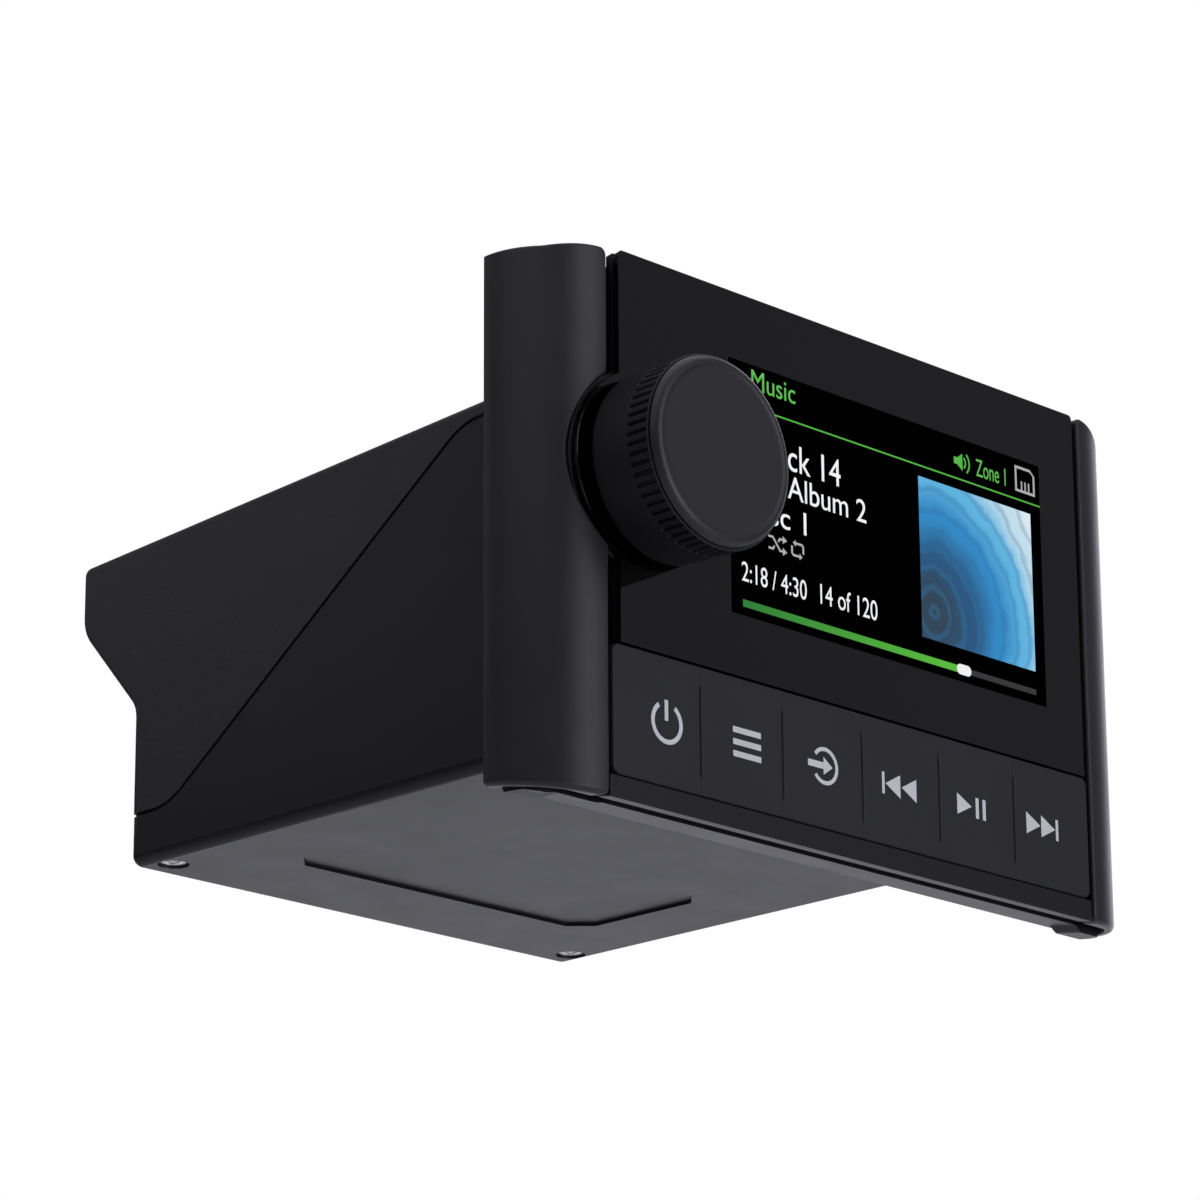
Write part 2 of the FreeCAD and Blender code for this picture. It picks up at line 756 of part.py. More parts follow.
def make_knob_ring():
    """The grip: a slightly conical ring with a web and a D-bored hub, grooved behind the cap."""
    foot, seam, web = -S["KnobFoot"], -S["KnobSeam"], S["WebDeep"] - S["KnobSeam"]
    hub_foot = foot - 1.6
    bore = S["ShaftRadius"] + 0.02
    inner = S["KnobRadius"] - S["KnobWall"]
    body = new_body("knob_ring")
    sketch = knob_profile(body)
    outline(sketch, [
        (seam, 0), (seam, S["KnobRim"]), (foot - 0.4, S["KnobRadius"]), (foot, S["KnobRadius"] - 0.4),
        (foot, inner), (web, inner), (web, S["HubRadius"]), (hub_foot, S["HubRadius"]),
        (hub_foot, bore), (-S["ShaftNose"], bore), (-S["ShaftNose"], 0),
    ])
    revolve(body, sketch)
    sketch = sketch_on(body, "front", -S["ShaftNose"], KNOB)
    rectangle(sketch, -2.6, 2.6, S["FlatSet"] + 0.02, S["ShaftRadius"] + 0.3)
    extrude(body, sketch, S["FlatLong"])
    sketch = sketch_on(body, "front", seam, KNOB)
    above = sized(0.3)
    half = S["GripWide"] / 2 * (S["GripCut"] + above) / S["GripCut"]
    floor = S["KnobRim"] - S["GripCut"]
    outline(sketch, [(-half, S["KnobRim"] + above), (0, floor), (half, S["KnobRim"] + above)])
    groove = extrude(body, sketch, S["GripLong"], cut=True)
    repeat_round(body, groove, sketch, SIZES["GripCount"])


def make_knob_cap():
    """The smooth front of the knob: a flat face, a round edge and a fine shadow gap at the ring."""
    nose, seam, rim, edge = -S["KnobNose"], -S["KnobSeam"], S["CapRadius"], S["CapRound"]
    gap = sized(0.3)
    body = new_body("knob_cap")
    sketch = knob_profile(body)
    outline(sketch, [
        (nose, 0), (nose, rim - edge), (nose + edge - gap, rim), (seam - gap, rim),
        (seam - gap, rim - 0.5), (seam, rim - 0.5), (seam, 0),
    ], {1: -edge})
    revolve(body, sketch)


def make_encoder():
    """The rotary encoder: case with its bush, D shaft and the plunger that a press pushes in."""
    nose = -S["BushNose"]
    body = new_body("encoder_body")
    sketch = sketch_on(body, "front", LAYER, KNOB)
    rectangle(sketch, -S["CaseHalf"], S["CaseHalf"], -S["CaseHalf"], S["CaseHalf"])
    extrude(body, sketch, BOARD_FRONT - LAYER)
    sketch = sketch_on(body, "front", nose, KNOB)
    extrude(body, circle(sketch, 0, 0, S["BushRadius"]), LAYER - nose)
    sketch = sketch_on(body, "front", nose, KNOB)
    extrude(body, circle(sketch, 0, 0, S["ShaftRadius"] + S["Running"]), S["BushNose"] - S["BoreFloor"],
            cut=True)
    body = new_body("encoder_shaft")
    sketch = sketch_on(body, "front", -S["ShaftNose"], KNOB)
    extrude(body, circle(sketch, 0, 0, S["ShaftRadius"]), S["ShaftNose"] - S["ShaftFoot"])
    sketch = sketch_on(body, "front", -S["ShaftNose"], KNOB)
    rectangle(sketch, -4, 4, S["FlatSet"], 4)
    extrude(body, sketch, S["FlatLong"], cut=True)
    plunger = rod("plunger_rod", *KNOB, S["ShaftRadius"] - 0.06, -S["ShaftFoot"], -S["PlungerFoot"])
    keep(plunger, "encoder_plunger")


def make_encoder_fixings():
    """The rubber washer and the nut that clamp the encoder's bush to the front plate."""
    washer_front = GLASS_BACK - 0.8
    body = new_body("shaft_seal")
    sketch = sketch_on(body, "front", washer_front, KNOB)
    circle(sketch, 0, 0, 7.5)
    circle(sketch, 0, 0, S["BushRadius"] + 0.1)
    extrude(body, sketch, GLASS_BACK - washer_front)
    body = new_body("encoder_nut")
    sketch = sketch_on(body, "front", washer_front - 2, KNOB)
    outline(sketch, hexagon(5.0))
    circle(sketch, 0, 0, S["BushRadius"] + 0.02)
    extrude(body, sketch, 2)


def hexagon(flat):
    """The corners of a nut about the centre, from half its width across flats."""
    corner = flat / math.cos(math.pi / 6)
    turns = [math.radians(60 * k + 15) for k in range(6)]
    return [(corner * math.cos(a), corner * math.sin(a)) for a in turns]


# Housing


def make_lower_shell():
    """The deep tray under the slanted seam, with a rounded floor, bosses and a bare label recess."""
    body = new_body("lower_shell")
    wide, wall, rear, foot = S["BodyHalf"], S["BodyWall"], S["RearDeep"], S["BodyFoot"]
    seam = seam_corners(-S["SeamGap"])
    sketch = sketch_on(body, "side", -wide)
    outline(sketch, [(sized(0), foot), (rear, foot)] + seam[::-1])
    extrude(body, sketch, wide * 2)
    soften(body, S["SeamRound"], at_corners([seam[1]]))
    soften(body, S["SeamRound"] + 2 * S["SeamGap"], at_corners([seam[2]]))
    soften(body, S["BodyRound"], lambda m, axis: axis == "z" and abs(m.y - rear.value) < 0.1)
    soften(body, S["BodyRound"], lambda m, axis: abs(m.z - foot.value) < 0.1 and m.y > 1)
    sketch = sketch_on(body, "side", -wide + wall)
    rectangle(sketch, sized(-1), rear - wall, foot + wall, sized(40))
    extrude(body, sketch, (wide - wall) * 2, cut=True)
    shell_bosses(body)
    sketch = sketch_on(body, "plan", foot)
    for side in SIDES:
        circle(sketch, side * S["ClosingX"], S["ClosingY"], 1.5)
    extrude(body, sketch, wall + 1, cut=True)
    sketch = sketch_on(body, "plan", foot - 0.1)
    for side in SIDES:
        circle(sketch, side * S["ClosingX"], S["ClosingY"], 2.5)
    extrude(body, sketch, S["ClosingSeat"] + 0.1, cut=True)
    label_recess(body)


def shell_bosses(body):
    """Bosses for the flange's screws beside the side walls, and posts under the main board."""
    half = 3.2
    board_foot = S["BoardTop"] - S["BoardThick"]
    inner_foot = S["BodyFoot"] + S["BodyWall"]
    wall_middle = S["BodyHalf"] - S["BodyWall"] / 2
    sketch = sketch_on(body, "front")
    for x, z in SHELL_SCREWS:
        side = math.copysign(1, x)
        low, high = in_order(x - side * half, side * wall_middle)
        rectangle(sketch, low, high, z - half, z + half)
    extrude(body, sketch, 12.0)
    sketch = sketch_on(body, "front")
    for x, z in SHELL_SCREWS:
        circle(sketch, x, z, S["PilotRadius"])
    extrude(body, sketch, 10.0, cut=True)
    sketch = sketch_on(body, "plan", inner_foot - 0.5)
    for x, y in BOARD_SCREWS:
        circle(sketch, x, y, 3.0)
    extrude(body, sketch, board_foot - inner_foot + 0.5)
    sketch = sketch_on(body, "plan", board_foot)
    for x, y in BOARD_SCREWS:
        circle(sketch, x, y, S["PilotRadius"])
    extrude(body, sketch, 5.0, cut=True, negative=True)


def label_recess(body):
    """A shallow field with clipped corners on the underside, left bare."""
    x, y0, y1, clip = 32.0, 49.2, 77.6, 3.5
    corners = [
        (-x + clip, y0), (x - clip, y0), (x, y0 + clip), (x, y1 - clip),
        (x - clip, y1), (-x + clip, y1), (-x, y1 - clip), (-x, y0 + clip),
    ]
    extrude(body, outline(sketch_on(body, "plan", S["BodyFoot"]), corners), 0.5, cut=True)


def make_upper_cover():
    """The cover over the seam: sloping top, hood over the rear sockets, and the rear wall."""
    body = new_body("upper_cover")
    wide, wall, deep = S["BodyHalf"], S["BodyWall"], S["BodyDeep"]
    rear = S["RearDeep"] - 0.3
    top_rear = S["BodyTop"] - S["BodyDrop"]
    seam = seam_corners(S["SeamGap"])
    hood = [(rear, S["BayTop"]), (deep, S["HoodFoot"]), (deep, top_rear), (sized(0), S["BodyTop"])]
    sketch = sketch_on(body, "side", -wide)
    outline(sketch, seam[:3] + [(rear, seam[3][1])] + hood)
    extrude(body, sketch, wide * 2)
    soften(body, S["SeamRound"] + 2 * S["SeamGap"], at_corners([seam[1]]))
    soften(body, S["SeamRound"], at_corners([seam[2]]))
    soften(body, 4.5, at_corners([hood[0]]))
    soften(body, 6.5, at_corners([hood[1]]))
    soften(body, 1.5, at_corners([hood[2]]))
    sketch = sketch_on(body, "side", -wide + wall)
    low = sized(-30)
    outline(sketch, [
        (sized(-1), S["BodyTop"] - wall), (deep - wall, top_rear - wall), (deep - wall, S["HoodFoot"] + 1),
        (rear - wall, S["BayTop"] + 1), (rear - wall, low), (sized(-1), low),
    ])
    extrude(body, sketch, (wide - wall) * 2, cut=True)
    soften(body, S["TopRound"], lambda m, axis: axis != "x" and is_outer(m))
    sketch = sketch_on(body, "plan", S["SeamRear"] + 2)
    for side in SIDES:
        circle(sketch, side * S["ClosingX"], S["ClosingY"], 3.2)
    extrude(body, sketch, 14.6)
    sketch = sketch_on(body, "plan", S["SeamRear"] + 0.5)
    for side in SIDES:
        circle(sketch, side * S["ClosingX"], S["ClosingY"], S["PilotRadius"] + 0.05)
    extrude(body, sketch, 12.0, cut=True)
    socket_cut_outs(body, rear - wall)


def is_outer(middle):
    """True on the outer edges of the side walls, away from the seam and the front rim."""
    if middle.y < 1 or abs(abs(middle.x) - SIZES["BodyHalf"]) > 0.1:
        return False
    if middle.y > SIZES["RearDeep"] - 1:
        return middle.z > SIZES["SeamRear"] + 1
    slope = SIZES["BodyDrop"] / SIZES["BodyDeep"]
    return middle.z > SIZES["BodyTop"] - slope * middle.y - 1


def socket_cut_outs(body, inside):
    """Close-fitting holes in the rear wall for every socket."""
    sketch = sketch_on(body, "front", inside - 1)
    floor = S["BoardTop"] - 0.1
    for _, x, wide, _ in BLOCK_SOCKETS:
        half = wide / 2 + 0.1
        rectangle(sketch, x - half, x + half, floor, floor + S["SocketHigh"] + 0.2)
    for _, x, radius, _ in ROUND_SOCKETS:
        circle(sketch, x, SOCKET_MIDDLE, radius + 0.1)
    extrude(body, sketch, S["BodyWall"] + 2, cut=True)


def make_housing_seal():
    """The soft cord in the seam: a thin band that follows the side profile, open in the middle."""
    body = new_body("housing_seal")
    under = seam_corners(-S["SeamGap"])
    over = seam_corners(S["SeamGap"])
    wide = S["BodyHalf"] - 0.6
    rear = S["RearDeep"] - 0.9
    lower = under[:3] + [(rear, under[3][1])]
    upper = over[:3] + [(rear, over[3][1])]
    sketch = sketch_on(body, "side", -wide)
    outline(sketch, lower + upper[::-1])
    extrude(body, sketch, wide * 2)
    soften(body, S["SeamRound"], at_corners([under[1], over[2]], 0.1))
    soften(body, S["SeamRound"] + 2 * S["SeamGap"], at_corners([over[1], under[2]], 0.1))
    sketch = sketch_on(body, "plan", sized(30))
    inner = S["BodyHalf"] - 2.2
    rectangle(sketch, -inner, inner, sized(-1), S["RearDeep"] - 2.5)
    extrude(body, sketch, 60.0, cut=True, negative=True)


# Sockets and electronics


def make_block_socket(name, x, wide, mouth):
    """A shrouded socket on the main board, with a key way where the plug has a rib."""
    floor = S["BoardTop"]
    half = wide / 2
    inner = half - S["SocketWall"]
    body = new_body(name)
    sketch = sketch_on(body, "front", S["SocketFront"])
    rectangle(sketch, x - half, x + half, floor, floor + S["SocketHigh"])
    extrude(body, sketch, S["SocketRear"] - S["SocketFront"])
    sketch = sketch_on(body, "front", S["SocketRear"] - S["SocketMouth"])
    rectangle(sketch, x - inner, x + inner, SOCKET_MIDDLE - mouth / 2, SOCKET_MIDDLE + mouth / 2)
    extrude(body, sketch, S["SocketMouth"] + 1, cut=True)
    if name != "network_socket":
        sketch = sketch_on(body, "front", S["SocketRear"] - 6)
        rectangle(sketch, x - 1.5, x + 1.5, SOCKET_MIDDLE + 3, SOCKET_MIDDLE + 5)
        extrude(body, sketch, 7.0, cut=True)


def make_round_socket(name, x, radius, bore):
    """A round socket on a square foot that stands on the main board."""
    floor = S["BoardTop"]
    collar = S["SocketFront"] + 11
    half = radius - 0.4
    body = new_body(name)
    sketch = sketch_on(body, "front", S["SocketFront"] + 2)
    rectangle(sketch, x - half, x + half, floor, floor + S["SocketHigh"])
    extrude(body, sketch, 9.6)
    sketch = circle(sketch_on(body, "front", collar), x, SOCKET_MIDDLE, radius)
    extrude(body, sketch, S["SocketRear"] - collar)
    sketch = circle(sketch_on(body, "front", S["SocketRear"] - 8), x, SOCKET_MIDDLE, bore)
    extrude(body, sketch, 9.0, cut=True)


def make_electronics():
    """The main board and what stands on it, and the flat cable to the front board."""
    top = S["BoardTop"]
    board = box("main_pcb", -40.0, 40.0, 9.0, 93.5, top - S["BoardThick"], top)
    holes = [post("board_hole", x, y, 1.5, top - 3, top + 1) for x, y in BOARD_SCREWS]
    keep(cut("main_pcb_cut", board, fuse("board_holes", holes)), "main_board")
    chip_top = top + 3.5
    fin_foot = chip_top + 3
    keep(box("chip_box", -12.0, 12.0, 48.0, 62.0, top, chip_top), "amplifier_chip")
    fins = [box("sink_base", -30.0, 30.0, 36.0, 74.0, chip_top, fin_foot)]
    for i in range(9):
        x = 7.0 * (i - 4)
        fins.append(box("sink_fin", x - 0.8, x + 0.8, 36.0, 74.0, fin_foot, fin_foot + 21))
    keep(fuse("sink_all", fins), "heat_sink")
    make_flex_cable(top)


def make_flex_cable(top):
    """A flat ribbon from the back of the front board down to the main board."""
    thick, high = 0.4, -8.0
    body = new_body("flex_cable")
    sketch = sketch_on(body, "side", sized(-10))
    outline(sketch, [
        (PLATE_FRONT, high), (6.0, high), (12.0, top), (16.0, top),
        (16.0, top + thick), (12.3, top + thick), (6.2, high + thick), (PLATE_FRONT, high + thick),
    ])
    extrude(body, sketch, 20.0)


def make_screws():
    """The board's screws, those that hold the shells to the flange, and two under the rear corners."""
    top = S["BoardTop"]
    seat = S["BodyFoot"] + S["ClosingSeat"]
    shank_radius = S["ShankRadius"]
    board = [
        (post("board_head", x, y, 2.6, top, top + 1.6), post("board_shank", x, y, shank_radius, top - 6, top))
        for x, y in BOARD_SCREWS
    ]
    shell = [
        (rod("shell_head", x, z, 3.0, -2.45, -1.2), rod("shell_shank", x, z, shank_radius, -1.2, 9.0))
        for x, z in SHELL_SCREWS
    ]
    closing = [
        (post("closing_head", side * S["ClosingX"], S["ClosingY"], 2.2, seat - 1, seat),
         post("closing_shank", side * S["ClosingX"], S["ClosingY"], shank_radius, seat, S["SeamRear"] + 9))
        for side in SIDES
    ]
    for label, pairs in (("board_screws", board), ("flange_screws", shell), ("housing_screws", closing)):
        keep(group(label + "_group", [fuse("screw", list(pair)) for pair in pairs]), label)


def check_all():
    """Stops on a failed object or a piece whose shape is missing or broken."""
    for obj in doc.Objects:
        if "Invalid" in obj.State or "Error" in obj.State:
            raise RuntimeError("%s (%s) failed: %s" % (obj.Name, obj.Label, obj.State))
    for piece in PIECES:
        shape = piece.Shape
        if shape.isNull() or not shape.isValid() or shape.Volume <= 0:
            raise RuntimeError("%s has no sound shape" % piece.Label)


make_front_fascia()
make_display_glass()
make_trim("left_trim", -1)
make_trim("right_trim", 1)
make_mount_frame()
make_dash_gasket()
make_display()
make_keys()
make_key_contacts()
make_knob_ring()
make_knob_cap()
make_encoder()
make_encoder_fixings()
make_lower_shell()
make_upper_cover()
for socket in BLOCK_SOCKETS:
    make_block_socket(*socket)
for socket in ROUND_SOCKETS:
    make_round_socket(*socket)
make_housing_seal()
make_electronics()
make_screws()
doc.recompute()
check_all()
os.makedirs("parts", exist_ok=True)
for piece in PIECES:
    piece.Shape.exportStep(os.path.join("parts", piece.Label + ".step"))
print(len(PIECES), "parts")
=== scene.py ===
import math

import bmesh
import bpy
import numpy as np
from mathutils import Matrix, Vector


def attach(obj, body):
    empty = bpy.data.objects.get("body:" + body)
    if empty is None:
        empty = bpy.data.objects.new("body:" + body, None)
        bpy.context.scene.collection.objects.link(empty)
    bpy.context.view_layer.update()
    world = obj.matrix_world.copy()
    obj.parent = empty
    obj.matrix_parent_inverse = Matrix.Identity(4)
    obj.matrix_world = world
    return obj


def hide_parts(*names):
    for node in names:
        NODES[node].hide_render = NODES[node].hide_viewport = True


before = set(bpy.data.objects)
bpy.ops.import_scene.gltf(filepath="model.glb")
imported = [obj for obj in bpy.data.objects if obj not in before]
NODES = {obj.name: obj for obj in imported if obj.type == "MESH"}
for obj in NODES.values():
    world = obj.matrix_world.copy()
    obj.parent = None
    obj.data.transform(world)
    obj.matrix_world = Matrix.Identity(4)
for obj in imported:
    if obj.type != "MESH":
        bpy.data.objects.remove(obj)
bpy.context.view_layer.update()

# The finished marine stereo. Sizes in this file are millimetres, and meshes are written in metres.
MM = 0.001

# Places that the solids give: the knob's axis, and the depths of the glass and of the keys
KNOB = (-43.5, 8.5)
GLASS = -12.5
KEY_FRONT, KEY_BACK = -12.7, -11.1
KEY_FOOT, KEY_TOP = -37.5, -18.5
KEY_HALF = 52.1
KEY_PITCH = 17.2
KEYS = ("power_key", "menu_key", "source_key", "previous_key", "play_key", "next_key")

# The side trims: inner edge, radius, wall and centre of their round plan, foot and top, and the foot's
# rise for each millimetre of depth
TRIM_INNER, TRIM_RADIUS, TRIM_WALL = 52.8, 11.66, 1.5
TRIM_CENTRE = (53.4, -1.1)
TRIM_FOOT, TRIM_TOP = -41.0, 40.4
TRIM_FOOT_SLOPE = 0.12

# Each trim's top by its side: how much it is raised, its fall's share of the square, and its deepest fall
TRIM_TOPS = {-1: (0.0, 0.011, 0.95), 1: (0.6, 0.04, 2.4)}

# The back of the front layer, and the radius of the circle round the knob that cuts into the left trim
LAYER = -9.9
SCALLOP = 15.9

# The display's field, and the depths of the front and back of its marks
SCREEN_LEFT, SCREEN_RIGHT, SCREEN_FOOT, SCREEN_TOP = -27.36, 43.31, -8.73, 30.46
MARK_FRONT, MARK_BACK = GLASS - 0.03, GLASS - 0.005


# Finishes

class Nodes:
    """A material's node tree, with short ways to add and join its nodes."""

    def __init__(self, name):
        self.material = bpy.data.materials.new(name)
        self.material.use_nodes = True
        self.tree = self.material.node_tree
        self.shader = self.tree.nodes["Principled BSDF"]
        self.place = self.add("ShaderNodeTexCoord").outputs["Object"]

    def add(self, kind, **settings):
        node = self.tree.nodes.new(kind)
        for key, value in settings.items():
            setattr(node, key, value)
        return node

    def join(self, source, target):
        self.tree.links.new(source, target)

    def noise(self, per_mm, detail=3.0, stretch=(1, 1, 1)):
        """Noise with a number of lumps per millimetre of the object, stretched if asked."""
        mapping = self.add("ShaderNodeMapping")
        self.join(self.place, mapping.inputs["Vector"])
        mapping.inputs["Scale"].default_value = stretch
        node = self.add("ShaderNodeTexNoise")
        self.join(mapping.outputs["Vector"], node.inputs["Vector"])
        node.inputs["Scale"].default_value = per_mm / MM
        node.inputs["Detail"].default_value = detail
        node.inputs["Roughness"].default_value = 0.55
        return node.outputs["Fac"]

    def ramp(self, value, *stops):
        """A colour for each stop of (position, colour), smooth in between."""
        node = self.add("ShaderNodeValToRGB")
        self.join(value, node.inputs["Fac"])
        bar = node.color_ramp
        bar.interpolation = "EASE"
        while len(bar.elements) < len(stops):
            bar.elements.new(0.5)
        for element, (position, colour) in zip(bar.elements, stops):
            element.position = position
            element.color = (*colour, 1)
        return node.outputs["Color"]

    def span(self, value, low, high, to_low, to_high):
        """A value carried from one range to another, and held at its ends."""
        node = self.add("ShaderNodeMapRange")
        self.join(value, node.inputs["Value"])
        for key, number in (("From Min", low), ("From Max", high), ("To Min", to_low), ("To Max", to_high)):
            node.inputs[key].default_value = number
        return node.outputs["Result"]

    def math(self, how, first, second):
        """A sum, product or the like of two values, each a socket or a number."""
        node = self.add("ShaderNodeMath", operation=how)
        for source, socket in zip((first, second), node.inputs):
            if isinstance(source, (int, float)):
                socket.default_value = source
            else:
                self.join(source, socket)
        return node.outputs["Value"]

    def mix(self, factor, first, second):
        """The first colour at factor 0 and the second at 1, each a socket or a colour."""
        node = self.add("ShaderNodeMix", data_type="RGBA")
        self.join(factor, node.inputs["Factor"])
        for source, socket in ((first, node.inputs[6]), (second, node.inputs[7])):
            if isinstance(source, tuple):
                socket.default_value = (*source, 1)
            else:
                self.join(source, socket)
        return node.outputs[2]

    def bump(self, height, deep):
        """Bump from a height, deep millimetres from its lowest to its highest."""
        node = self.add("ShaderNodeBump")
        node.inputs["Distance"].default_value = deep * MM
        node.inputs["Strength"].default_value = 1.0
        self.join(height, node.inputs["Height"])
        self.join(node.outputs["Normal"], self.shader.inputs["Normal"])

    def edge(self, reach):
        """1 on sharp edges and 0 away from them, from how much a rounded normal turns away."""
        plain_dot, sharp_dot = 0.98, 0.75
        rounded = self.add("ShaderNodeBevel", samples=4)
        rounded.inputs["Radius"].default_value = reach * MM
        plain = self.add("ShaderNodeNewGeometry").outputs["Normal"]
        dot = self.add("ShaderNodeVectorMath", operation="DOT_PRODUCT")
        self.join(rounded.outputs["Normal"], dot.inputs[0])
        self.join(plain, dot.inputs[1])
        return self.span(dot.outputs["Value"], plain_dot, sharp_dot, 0.0, 1.0)


def tinted(colour, factor):
    return tuple(channel * factor for channel in colour)


def moulded(name, colour, rough, grain, deep, patchy=0.1, edge_wear_and_highlight=0.35, specular=0.5):
    """Moulded plastic, coat or rubber: fine grain, faint patches, and edges a little lighter from wear and
    a painted highlight.
    """
    vary, edge_reach, edge_polish = 0.02, 0.35, 0.12
    n = Nodes(name)
    patches = n.noise(0.05, 4.0)
    grains = n.noise(grain, 2.0)
    base = n.ramp(patches, (0.3, tinted(colour, 1 - patchy)), (0.7, tinted(colour, 1 + patchy)))
    base = n.mix(n.span(grains, 0.35, 0.65, 0.0, 0.25), base, tinted(colour, 1.25))
    # Edges painted lighter: partly wear, partly a painted highlight along them
    worn_and_highlit_edges = n.math("MULTIPLY", n.edge(edge_reach), n.span(n.noise(0.6), 0.4, 0.65, 0.0, edge_wear_and_highlight))
    base = n.mix(worn_and_highlit_edges, base, tuple(channel * 1.6 + 0.012 for channel in colour))
    n.join(base, n.shader.inputs["Base Color"])
    rough_now = n.span(n.noise(0.12, 4.0), 0.3, 0.7, rough - vary, rough + vary)
    polished = n.math("MULTIPLY", worn_and_highlit_edges, edge_polish)
    n.join(n.math("SUBTRACT", rough_now, polished), n.shader.inputs["Roughness"])
    n.shader.inputs["Specular IOR Level"].default_value = specular
    n.bump(grains, deep)
    return n.material


def glossy(name, colour, rough, specular):
    """Hard glossy glass or plastic with faint smudges in its polish."""
    smudge = 0.05
    n = Nodes(name)
    smears = n.noise(0.03, 5.0, (1, 1, 2.5))
    n.join(n.ramp(smears, (0.35, tinted(colour, 0.85)), (0.65, tinted(colour, 1.15))),
           n.shader.inputs["Base Color"])
    specks = n.span(n.noise(1.6, 1.0), 0.72, 0.8, 0.0, 0.05)
    n.join(n.math("ADD", n.span(smears, 0.45, 0.75, rough, rough + smudge), specks),
           n.shader.inputs["Roughness"])
    n.shader.inputs["Specular IOR Level"].default_value = specular
    n.bump(n.noise(0.02, 2.0), 0.004)
    return n.material


def metal(name, colour, rough, stretch):
    """Bare metal with fine lines along one direction, faint stains and a painted highlight along its edges.
    """
    n = Nodes(name)
    lines = n.noise(0.9, 4.0, stretch)
    stains = n.noise(0.12, 4.0)
    base = n.ramp(stains, (0.3, tinted(colour, 0.8)), (0.7, colour))
    # Edges painted brighter: a painted highlight
    n.join(n.mix(n.edge(0.2), base, tinted(colour, 1.25)), n.shader.inputs["Base Color"])
    n.join(n.span(lines, 0.3, 0.7, rough - 0.08, rough + 0.1), n.shader.inputs["Roughness"])
    n.shader.inputs["Metallic"].default_value = 1.0
    n.bump(lines, 0.006)
    return n.material


def board(name):
    """A circuit board: green mask, copper lines under it, and bright pads."""
    n = Nodes(name)
    brick = n.add("ShaderNodeTexBrick", offset=0.5)
    n.join(n.place, brick.inputs["Vector"])
    brick.inputs["Scale"].default_value = 0.16 / MM
    brick.inputs["Mortar Size"].default_value = 0.03
    mask = n.mix(brick.outputs["Fac"], (0.012, 0.075, 0.03), (0.03, 0.16, 0.06))
    pads = n.add("ShaderNodeTexVoronoi", feature="F1")
    n.join(n.place, pads.inputs["Vector"])
    pads.inputs["Scale"].default_value = 0.22 / MM
    pad = n.span(pads.outputs["Distance"], 0.16, 0.14, 0.0, 1.0)
    n.join(n.mix(pad, mask, (0.65, 0.6, 0.45)), n.shader.inputs["Base Color"])
    n.join(n.span(pad, 0.0, 1.0, 0.38, 0.25), n.shader.inputs["Roughness"])
    n.join(pad, n.shader.inputs["Metallic"])
    n.bump(brick.outputs["Fac"], 0.02)
    return n.material


def lit(name, colour, right_colour=None):
    """Lit screen colour with the screen's fine rows; it may change along the length of the progress bar."""
    left, right, row, row_depth = -25.0, 23.0, 0.16, 0.12
    right_colour = right_colour or colour
    n = Nodes(name)
    split = n.add("ShaderNodeSeparateXYZ")
    n.join(n.place, split.inputs[0])
    along = n.span(split.outputs["X"], left * MM, right * MM, 0.0, 1.0)
    rows = n.math("SINE", n.math("MULTIPLY", split.outputs["Z"], 2 * math.pi / (row * MM)), 0.0)
    glow = n.mix(along, colour, right_colour)
    glow = n.mix(n.span(rows, -1.0, 1.0, 0.0, row_depth), glow, (0.0, 0.0, 0.0))
    n.join(glow, n.shader.inputs["Emission Color"])
    n.join(n.mix(along, tinted(colour, 0.1), tinted(right_colour, 0.1)), n.shader.inputs["Base Color"])
    n.shader.inputs["Emission Strength"].default_value = 1.0
    screen_polish(n)
    return n.material


def screen_polish(n):
    """The faintly smudged polish of the glass over what the display shows."""
    n.join(n.span(n.noise(0.03, 5.0), 0.4, 0.7, 0.12, 0.2), n.shader.inputs["Roughness"])
    n.shader.inputs["Specular IOR Level"].default_value = 0.2


def ringed(name, centre):
    """A made-up picture of pale and blue rings round a point, for the field beside the titles."""
    inside, outside, wave, wander = 3.0, 33.0, 3.1, 5.0
    deep_water, pale = (0.02, 0.04, 0.06), (0.95, 0.98, 1.0)
    n = Nodes(name)
    spot = n.add("ShaderNodeVectorMath", operation="DISTANCE")
    n.join(n.place, spot.inputs[0])
    spot.inputs[1].default_value = [c * MM for c in centre]
    drift = n.math("MULTIPLY", n.math("SUBTRACT", n.noise(0.12, 5.0), 0.5), wander * MM)
    reach = n.math("ADD", spot.outputs["Value"], drift)
    field = n.ramp(n.span(reach, inside * MM, outside * MM, 0.0, 1.0),
                   (0.0, deep_water), (0.2, (0.01, 0.08, 0.2)), (0.42, (0.02, 0.26, 0.6)),
                   (0.62, (0.12, 0.5, 0.82)), (0.78, (0.6, 0.82, 0.92)), (1.0, pale))
    waves = n.math("SINE", n.math("MULTIPLY", reach, 2 * math.pi / (wave * MM)), 0.0)
    colour = n.mix(n.span(waves, 0.2, 0.9, 0.0, 0.35), field, (0.02, 0.16, 0.36))
    n.join(colour, n.shader.inputs["Emission Color"])
    n.shader.inputs["Emission Strength"].default_value = 0.85
    n.shader.inputs["Base Color"].default_value = (*deep_water, 1)
    screen_polish(n)
    return n.material


